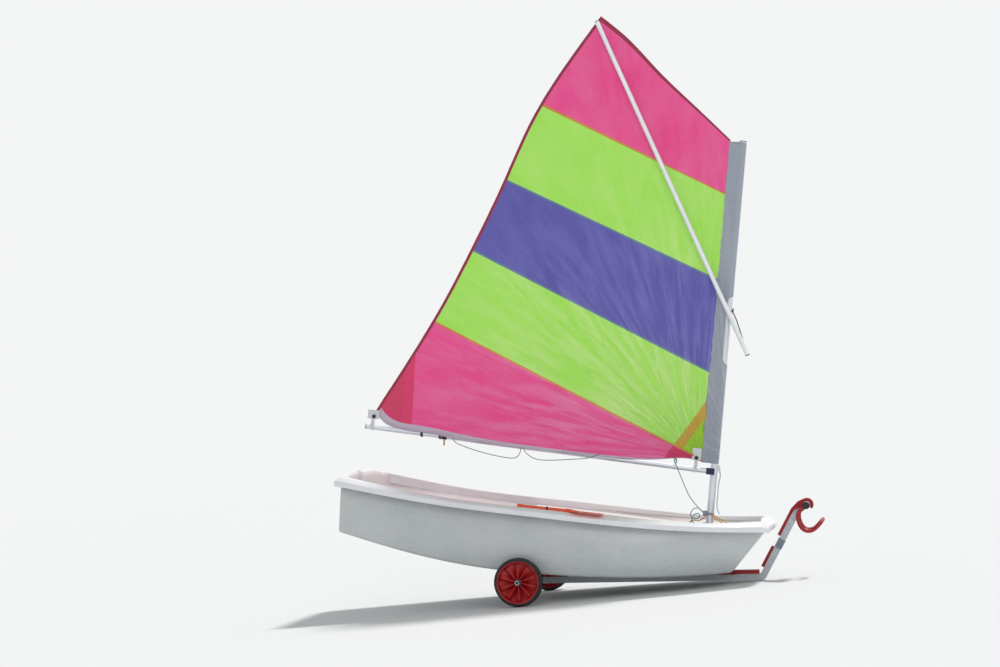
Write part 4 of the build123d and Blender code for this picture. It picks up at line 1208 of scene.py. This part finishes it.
# %% Eyelets in the corner plates
EYELET_STEEL = spar_metal("Stainless steel, rolled eyelet", "8E9094", "77797D")
DARK_HOLE = moulded_plastic("Shadow inside an eyelet", "1E2420", "262C28", 0.9)
eyelets = []
for x, z in ((-103, 298.5), (-1936, 359)):
    for side in (-1, 1):
        eyelets.append(turned_along(
            "eyelet_ring", rig_point, (x, side * 1.2, z), (x, side * 3.4, z),
            [(0, 8.0), (0.9, 8.2), (1, 9.0), (1, 11.5), (0.8, 12.8), (0, 13.0)], EYELET_STEEL, 40))
        eyelets.append(turned_along(
            "eyelet_hole", rig_point, (x, side * 1.2, z), (x, side * 1.9, z), [(0, 8.4), (1, 8.4)],
            DARK_HOLE, 32))
trim("corner_eyelets", eyelets, "rig")

# %% Collars on the axle's ends
# A thin collar and a split pin hold each wheel; the axle is an open tube, so its bore is dark
collars = []
for side, name in ((1, "left"), (-1, "right")):
    collar = wheel_ring("axle_collar_" + name, COLLAR_PROFILE, side, 48, BLACK_PLASTIC)
    centre = WHEEL_CENTRE * np.array([1, side, 1]) + np.array([0, side * 36, 0])
    pin = turned_along("axle_pin_" + name, floor_point, centre + [-6, 0, 17], centre + [6, 0, -17],
                       [(0, 1.0), (0.04, 1.7), (0.96, 1.7), (1, 1.0)], GALVANISED, 12)
    collars += [collar, pin]
trim("axle_collars", collars, "boat_on_trolley", ["axle_retainers"])

# %% [markdown]
# The paddle lies flat along the starboard rail: a tube, a long thin blade and a small grip. The
# blade's outline is a half breadth that grows and rounds off along its length, and its section
# is a lens, thickest along the middle.

# %% Paddle
PADDLE_TAIL = np.array([-168.0, -531.0, -39.0])
PADDLE_NECK = np.array([98.0, -533.0, -36.5])
PADDLE_TIP = np.array([296.0, -531.0, -36.0])


def blade_grid():
    """Lens-shaped sections along the blade: half breadth 11 mm at the neck, 52 mm at most."""
    share = np.linspace(0, 1, 40)
    rounded = np.sqrt(np.clip(1 - np.clip((share - 0.86) / 0.14, 0, 1) ** 2, 0.02, 1))
    breadth = 11 + 41 * step(share, 0.0, 0.35) * rounded
    thick = 5.0 + 6.0 * (1 - step(share, 0, 0.4)) - 1.5 * share
    angle = np.linspace(0, 2 * math.pi, 32, endpoint=False)
    across = np.cos(angle)[None, :] * breadth[:, None]
    up = np.sin(angle)[None, :] * thick[:, None] * (1 - 0.5 * np.cos(angle)[None, :] ** 2)
    line = PADDLE_NECK + (share[:, None] * (PADDLE_TIP - PADDLE_NECK))
    grid = np.repeat(line[:, None, :], 32, axis=1)
    grid[:, :, 1] += across
    grid[:, :, 2] += up
    return boat_point(grid)


blade = grid_object("paddle_blade", blade_grid(), ORANGE_PLASTIC, close_columns=True, caps=True)
trim("paddle_orange", [
    blade,
    turned_along("paddle_shaft", boat_point, PADDLE_TAIL, PADDLE_NECK + [12, 0, 0],
                 [(0, 4), (0.01, 9.5), (0.03, 11), (0.1, 11), (0.13, 8.5), (0.96, 8.5), (1, 5)],
                 ORANGE_PLASTIC),
], "boat_on_trolley", ["paddle"])

# %% [markdown]
# Ropes are laid or braided cord. A line under load is a straight or gently curved tube; a free one is
# a smooth curve through a handful of points, with its length worked out and printed. The braid is a
# fine slanted wave on Object coordinates, one crossing every two millimetres.

# %% Ropes


def rope_material(name, colour, fleck):
    """Braided polyester: slanted wave for the plait, flecks of a second colour."""
    material, tree, shader = finish_material(
        name, Roughness=0.75, Sheen_Weight=0.2, Sheen_Roughness=0.5,
    )
    flecks = ramp(tree, object_noise(tree, 260.0, 2.0), 0.55, 0.62)
    paint(tree, shader, flecks, colour, fleck)
    where = add_node(tree, "ShaderNodeTexCoord").outputs["Object"]
    slanted = add_node(tree, "ShaderNodeMapping", {"Vector": where, "Rotation": (0.6, 0.5, 0.7)})
    slanted = slanted.outputs["Vector"]
    plait = add_node(tree, "ShaderNodeTexWave", {"Vector": slanted, "Scale": 160.0})
    bump(tree, shader, plait.outputs["Fac"], 0.0008, 0.8)
    return material


ROPE_TEAL = rope_material("Braided polyester, faded teal", "4E7F88", "86A6A6")
ROPE_GREY = rope_material("Braided polyester, white with grey fleck", "B9BCBE", "7E868C")
ROPE_AMBER = rope_material("Braided polyester, amber", "D3922A", "E8B556")
ROPE_NAVY = rope_material("Braided polyester, navy", "1D2338", "2D3550")


def rope(name, place, points, radius, material, body):
    """A rope as a curve of one open NURBS spline drawn by the given control points, in mm."""
    curve = bpy.data.curves.new(name, "CURVE")
    curve.dimensions = "3D"
    curve.bevel_depth = radius / 1000
    curve.bevel_resolution = 3
    curve.use_fill_caps = True
    curve.materials.append(material)
    spline = curve.splines.new("NURBS")
    where = place(points)
    spline.points.add(len(where) - 1)
    for point, (x, y, z) in zip(spline.points, where):
        point.co = (x, y, z, 1)
    spline.order_u = 3
    spline.use_endpoint_u = True
    spline.resolution_u = 8
    obj = new_object(name, curve)
    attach(obj, body)
    return obj


def line_length(obj):
    """Length of a curve's centre line, read from the curve with no bevel."""
    copy = obj.copy()
    copy.data = obj.data.copy()
    copy.data.bevel_depth = 0
    bpy.context.scene.collection.objects.link(copy)
    mesh = evaluated_mesh(copy)
    co = np.array([tuple(v.co) for v in mesh.vertices])
    bpy.data.objects.remove(copy)
    bpy.data.meshes.remove(mesh)
    return float(np.linalg.norm(np.diff(co, axis=0), axis=1).sum())


def free_rope(name, place, points, radius, material, body):
    """A rope that hangs or lies free, drawn with the given radius; its length is worked out and
    printed.
    """
    obj = rope(name, place, points, radius, material, body)
    length = line_length(obj)
    print(name, "length", round(length, 3))
    tuple(place([points[0]])[0])


# Mainsheet bridle under the boom, slack in two bays, tied off at its middle
BOOM_Y = -14.0
free_rope("bridle_aft", rig_point, [
    (-1472, BOOM_Y, 285), (-1470, -17, 262), (-1400, -16, 238), (-1290, -15, 214), (-1180, -15, 200),
    (-1108, -16, 199), (-1084, -17, 224), (-1079, -17, 262), (-1079, BOOM_Y, 285),
], 2.2, ROPE_TEAL, "rig")
free_rope("bridle_fore", rig_point, [
    (-1070, BOOM_Y, 285), (-1068, -17, 258), (-1040, -16, 226), (-985, -15, 203), (-900, -15, 209),
    (-800, -15, 224), (-716, -16, 236), (-668, -17, 252), (-640, -17, 266), (-628, BOOM_Y, 277),
], 2.2, ROPE_TEAL, "rig")
# Halyard tail down the fore side of the mast
free_rope("halyard_tail", rig_point, [
    (33, 0, 236), (38, -5, 214), (34, -8, 186), (30, -7, 150), (33, -9, 110), (31, -8, 70),
    (34, -10, 36), (43, -12, 14), (52, -14, 6),
], 2.6, ROPE_GREY, "rig")
# Tail of the boom's downhaul, in two small loops behind the mast's foot
free_rope("downhaul_tail", rig_point, [
    (-44, -9, 8), (-60, -15, 27), (-90, -19, 24), (-107, -22, -2), (-103, -25, -28), (-84, -27, -38),
    (-62, -26, -30), (-54, -24, -12), (-64, -23, 0), (-86, -28, -10), (-97, -34, -34), (-94, -40, -54),
    (-78, -46, -55.5),
], 2.4, ROPE_TEAL, "rig")
taut = [
    # Downhaul from the boom to the mast's foot, with a slight bow of its own weight
    rope("downhaul", rig_point, [
        (-219, -15, 270), (-205, -14, 240), (-168, -12, 168), (-112, -10, 62), (-40, -8, 4),
    ], 2.4, ROPE_TEAL, "rig"),
    rope("downhaul_lashing", rig_point, [
        (-226, -12, 290), (-222, -17.5, 274), (-217, -12, 258), (-212, 6, 255),
        (-210, 17.5, 272), (-216, 8, 290), (-222, -12, 290), (-212, -17.5, 273),
    ], 2.4, ROPE_TEAL, "rig"),
    # Sprit's tackle, from the mast to the sprit's heel along its fore side
    rope("sprit_tackle", rig_point, [
        (22, -16, 1122), (44, -26, 1090), (70, -30, 1030), (112, -32, 930), (126, -32, 900),
    ], 3.0, ROPE_NAVY, "rig"),
]

# Tie lines at the mast's foot: one slack to the thwart's aft edge, two forward into the bow well
tie_lines = [
    ("mast_tie_aft", [(-24, -14, -14), (-40, -18, -36), (-66, -22, -43), (-98, -25, -44),
                      (-108, -26, -62), (-108, -27, -96)]),
    ("mast_tie_fore", [(12, -20, -4), (46, -25, -16), (90, -29, -38), (118, -31, -44),
                       (128, -32, -66), (128, -32, -98)]),
    ("mast_tie_fore_low", [(12, -21, -12), (40, -31, -28), (82, -37, -44), (108, -40, -50),
                           (117, -41, -70), (117, -41, -98)]),
]
for name, points in tie_lines:
    free_rope(name, rig_point, points, 3.0, ROPE_AMBER, "boat_on_trolley")

# %% [markdown]
# A lashing is one helix: the angle runs on while the place moves slowly along the spar. The boom
# carries one knot of its own and, near its middle, a dark bail with a small turned toggle.

# %% Lashings and boom fittings


def lashing(name, place, start, end, radius, turns, thickness, material, body):
    """A rope wound on a bar: a helix of the given turns between two places along it."""
    start, end = np.asarray(start, float), np.asarray(end, float)
    share = np.linspace(0, 1, int(turns * 10) + 1)
    winding = (radius + thickness) * directions_about(start, end, 2 * math.pi * turns * share)
    points = start + (end - start) * share[:, None] + winding
    return rope(name, place, points, thickness, material, body)


BOOM_START, BOOM_HEIGHT, BOOM_RISE = -30.0, 232.0, math.radians(1.97)
BOOM_SKIN, PADDLE_SKIN = 14.2, 8.7


def on_boom(x):
    """The boom's axis at a place along the rig: it rises aft at an even slope from its fore end."""
    return np.array([x, 0.0, BOOM_HEIGHT + math.tan(BOOM_RISE) * (BOOM_START - x)])


taut += [
    lashing("boom_knot", rig_point, on_boom(-1657), on_boom(-1645), BOOM_SKIN, 2.5, 2.4,
            ROPE_NAVY, "rig"),
    lashing("bail_lashing", rig_point, on_boom(-1552), on_boom(-1540), BOOM_SKIN, 2.5, 2.2,
            ROPE_NAVY, "rig"),
    lashing("paddle_lanyard", boat_point, (-9, -531.5, -37.5), (0, -531.6, -37.4), PADDLE_SKIN,
            2.5, 1.7, ROPE_NAVY, "boat_on_trolley"),
]
TAN_PLASTIC = moulded_plastic("Polyamide, tan, turned toggle", "B98A5C", "C79C6E", 0.5)
trim("boom_bail", [
    turned_along("bail_band", rig_point, on_boom(-1536), on_boom(-1506),
                 [(0, 14.3), (0, 16), (0.15, 17), (0.85, 17), (1, 16), (1, 14.3)],
                 BLACK_PLASTIC, 40),
    turned_along("toggle", rig_point, on_boom(-1521) - [0, 0, 17], on_boom(-1520) - [0, 0, 50],
                 [(0, 2), (0.04, 4.4), (0.2, 5.2), (0.5, 3.8), (0.8, 5.2), (0.96, 4.4), (1, 2)],
                 TAN_PLASTIC, 24),
], "rig")
print("taut lines", len(taut))

# %% [markdown]
# The pull loop is one bent tube dipped in red plastic: down from the grip on one side, forward,
# across, and back up on the other. A spline runs through the bend points, and a ring is set
# square to it at every step.

# %% Pull loop
LOOP_SIDE = [
    (1320, 380), (1288, 350), (1286, 305), (1302, 268), (1331, 252), (1370, 262), (1408, 298),
]
LOOP_Y, LOOP_RADIUS, LOOP_STEPS = 78.0, 11.3, 105
loop_points = [(x, -LOOP_Y, z) for x, z in LOOP_SIDE]
loop_points += [(x, LOOP_Y, z) for x, z in LOOP_SIDE[::-1]]


def tube_grid(points, radius, steps):
    """Rings round a spline through the points.

    A ring's first direction is carried along from the one before: what lies along the run is
    taken off it, so that the rings never turn against each other.
    """
    line = smooth_through(np.arange(len(points)), points, np.linspace(0, len(points) - 1, steps))
    run = unit(np.gradient(line, axis=0))
    first = np.tile([0.0, 1.0, 0.0], (steps, 1))
    for i in range(1, steps):
        first[i] = unit(first[i - 1] - run[i] * (first[i - 1] @ run[i]))
    angle = np.linspace(0, 2 * math.pi, 24, endpoint=False)[None, :, None]
    around = np.cos(angle) * first[:, None, :] + np.sin(angle) * np.cross(run, first)[:, None, :]
    return line[:, None, :] + radius * around


pull_loop = grid_object(
    "pull_loop_tube", floor_point(tube_grid(loop_points, LOOP_RADIUS, LOOP_STEPS)), RED_TUBE,
    close_columns=True, caps=True,
)
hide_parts("pull_loop")
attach(pull_loop, "boat_on_trolley")

# %% Fitting on the inside of the stern
trim("stern_fitting", [
    rounded_block("stern_plate", boat_point, (-1131.5, -1127), (-6, 10), (-50, -26), 1.5,
                  STAINLESS),
    turned_along("stern_bolt", boat_point, (-1128, 2, -38), (-1122, 2, -38),
                 [(0, 5.5), (0.8, 5.5), (1, 4)], BLACK_PLASTIC, 6),
], "boat_on_trolley")

# %% [markdown]
# The stage is a plain pale floor, one soft sun from ahead and from the far side, so that the
# near topside stays in shade as it does outdoors, a weak fill from the near side, and an even
# sky. What the camera sees past the floor is the sky's paler colour, given to camera rays and
# reflections alone, with no more light on the boat.

# %% Floor, light and camera
FLOOR_HALF = 40.0
floor_mesh = bpy.data.meshes.new("floor")
corners = [(FLOOR_HALF * x, FLOOR_HALF * y, 0) for x, y in ((-1, -1), (1, -1), (1, 1), (-1, 1))]
floor_mesh.from_pydata(corners, [], [(0, 1, 2, 3)])
floor = new_object("floor", floor_mesh)
floor_material, tree, shader = finish_material(
    "Pale studio floor", Roughness=0.9, Base_Color=linear("E4E4E3"),
)
floor.data.materials.append(floor_material)

world = bpy.data.worlds.new("Even sky")
world.use_nodes = True
bpy.context.scene.world = world
tree = world.node_tree
background = tree.nodes["Background"]
background.inputs["Color"].default_value = linear("EDF1F5")
background.inputs["Strength"].default_value = 0.52
seen = add_node(tree, "ShaderNodeBackground", {"Color": linear("F4F5F5"), "Strength": 1.0})
path = add_node(tree, "ShaderNodeLightPath")
rays = maths(tree, "MAXIMUM", path.outputs["Is Camera Ray"], path.outputs["Is Glossy Ray"])
rays = maths(tree, "MAXIMUM", rays, path.outputs["Is Transmission Ray"])
either = add_node(tree, "ShaderNodeMixShader", {0: rays})
tree.links.new(background.outputs[0], either.inputs[1])
tree.links.new(seen.outputs[0], either.inputs[2])
tree.links.new(either.outputs[0], tree.nodes["World Output"].inputs["Surface"])


def sun(name, strength, from_where, angle):
    """A sun lamp shining from a direction towards the boat, softened by its angle in degrees."""
    lamp = bpy.data.lights.new(name, "SUN")
    lamp.energy = strength
    lamp.angle = math.radians(angle)
    direction = Vector(from_where).to_track_quat("Z", "Y")
    new_object(name, lamp).rotation_euler = direction.to_euler()


sun("Soft sun", 2.3, (0.4, 0.34, 0.95), 8)
sun("Soft fill", 0.3, (0.35, -1.0, 0.5), 30)

# The camera: where it stood, where it looked and how it was tilted, worked out by matching
# known lengths of the hull and rig to their places in the photograph.
camera_data = bpy.data.cameras.new("camera")
camera_data.sensor_width = 36
camera_data.lens = 79.2
camera = new_object("camera", camera_data)
forward = unit(BOAT_AXES @ np.array([-0.17273, 0.98485, 0.01540]))
right = BOAT_AXES @ np.array([0.98032, 0.17037, 0.09975])
right = unit(right - forward * (right @ forward))
up = np.cross(right, forward)
turn = Matrix([[right[i], up[i], -forward[i]] for i in range(3)])
place = Vector(boat_point([1682.6, -12137.0, 684.2]))
camera.matrix_world = Matrix.Translation(place) @ turn.to_4x4()
bpy.context.scene.camera = camera
bpy.context.scene.view_settings.view_transform = "Standard"
print("camera at", [round(v, 3) for v in camera.location])
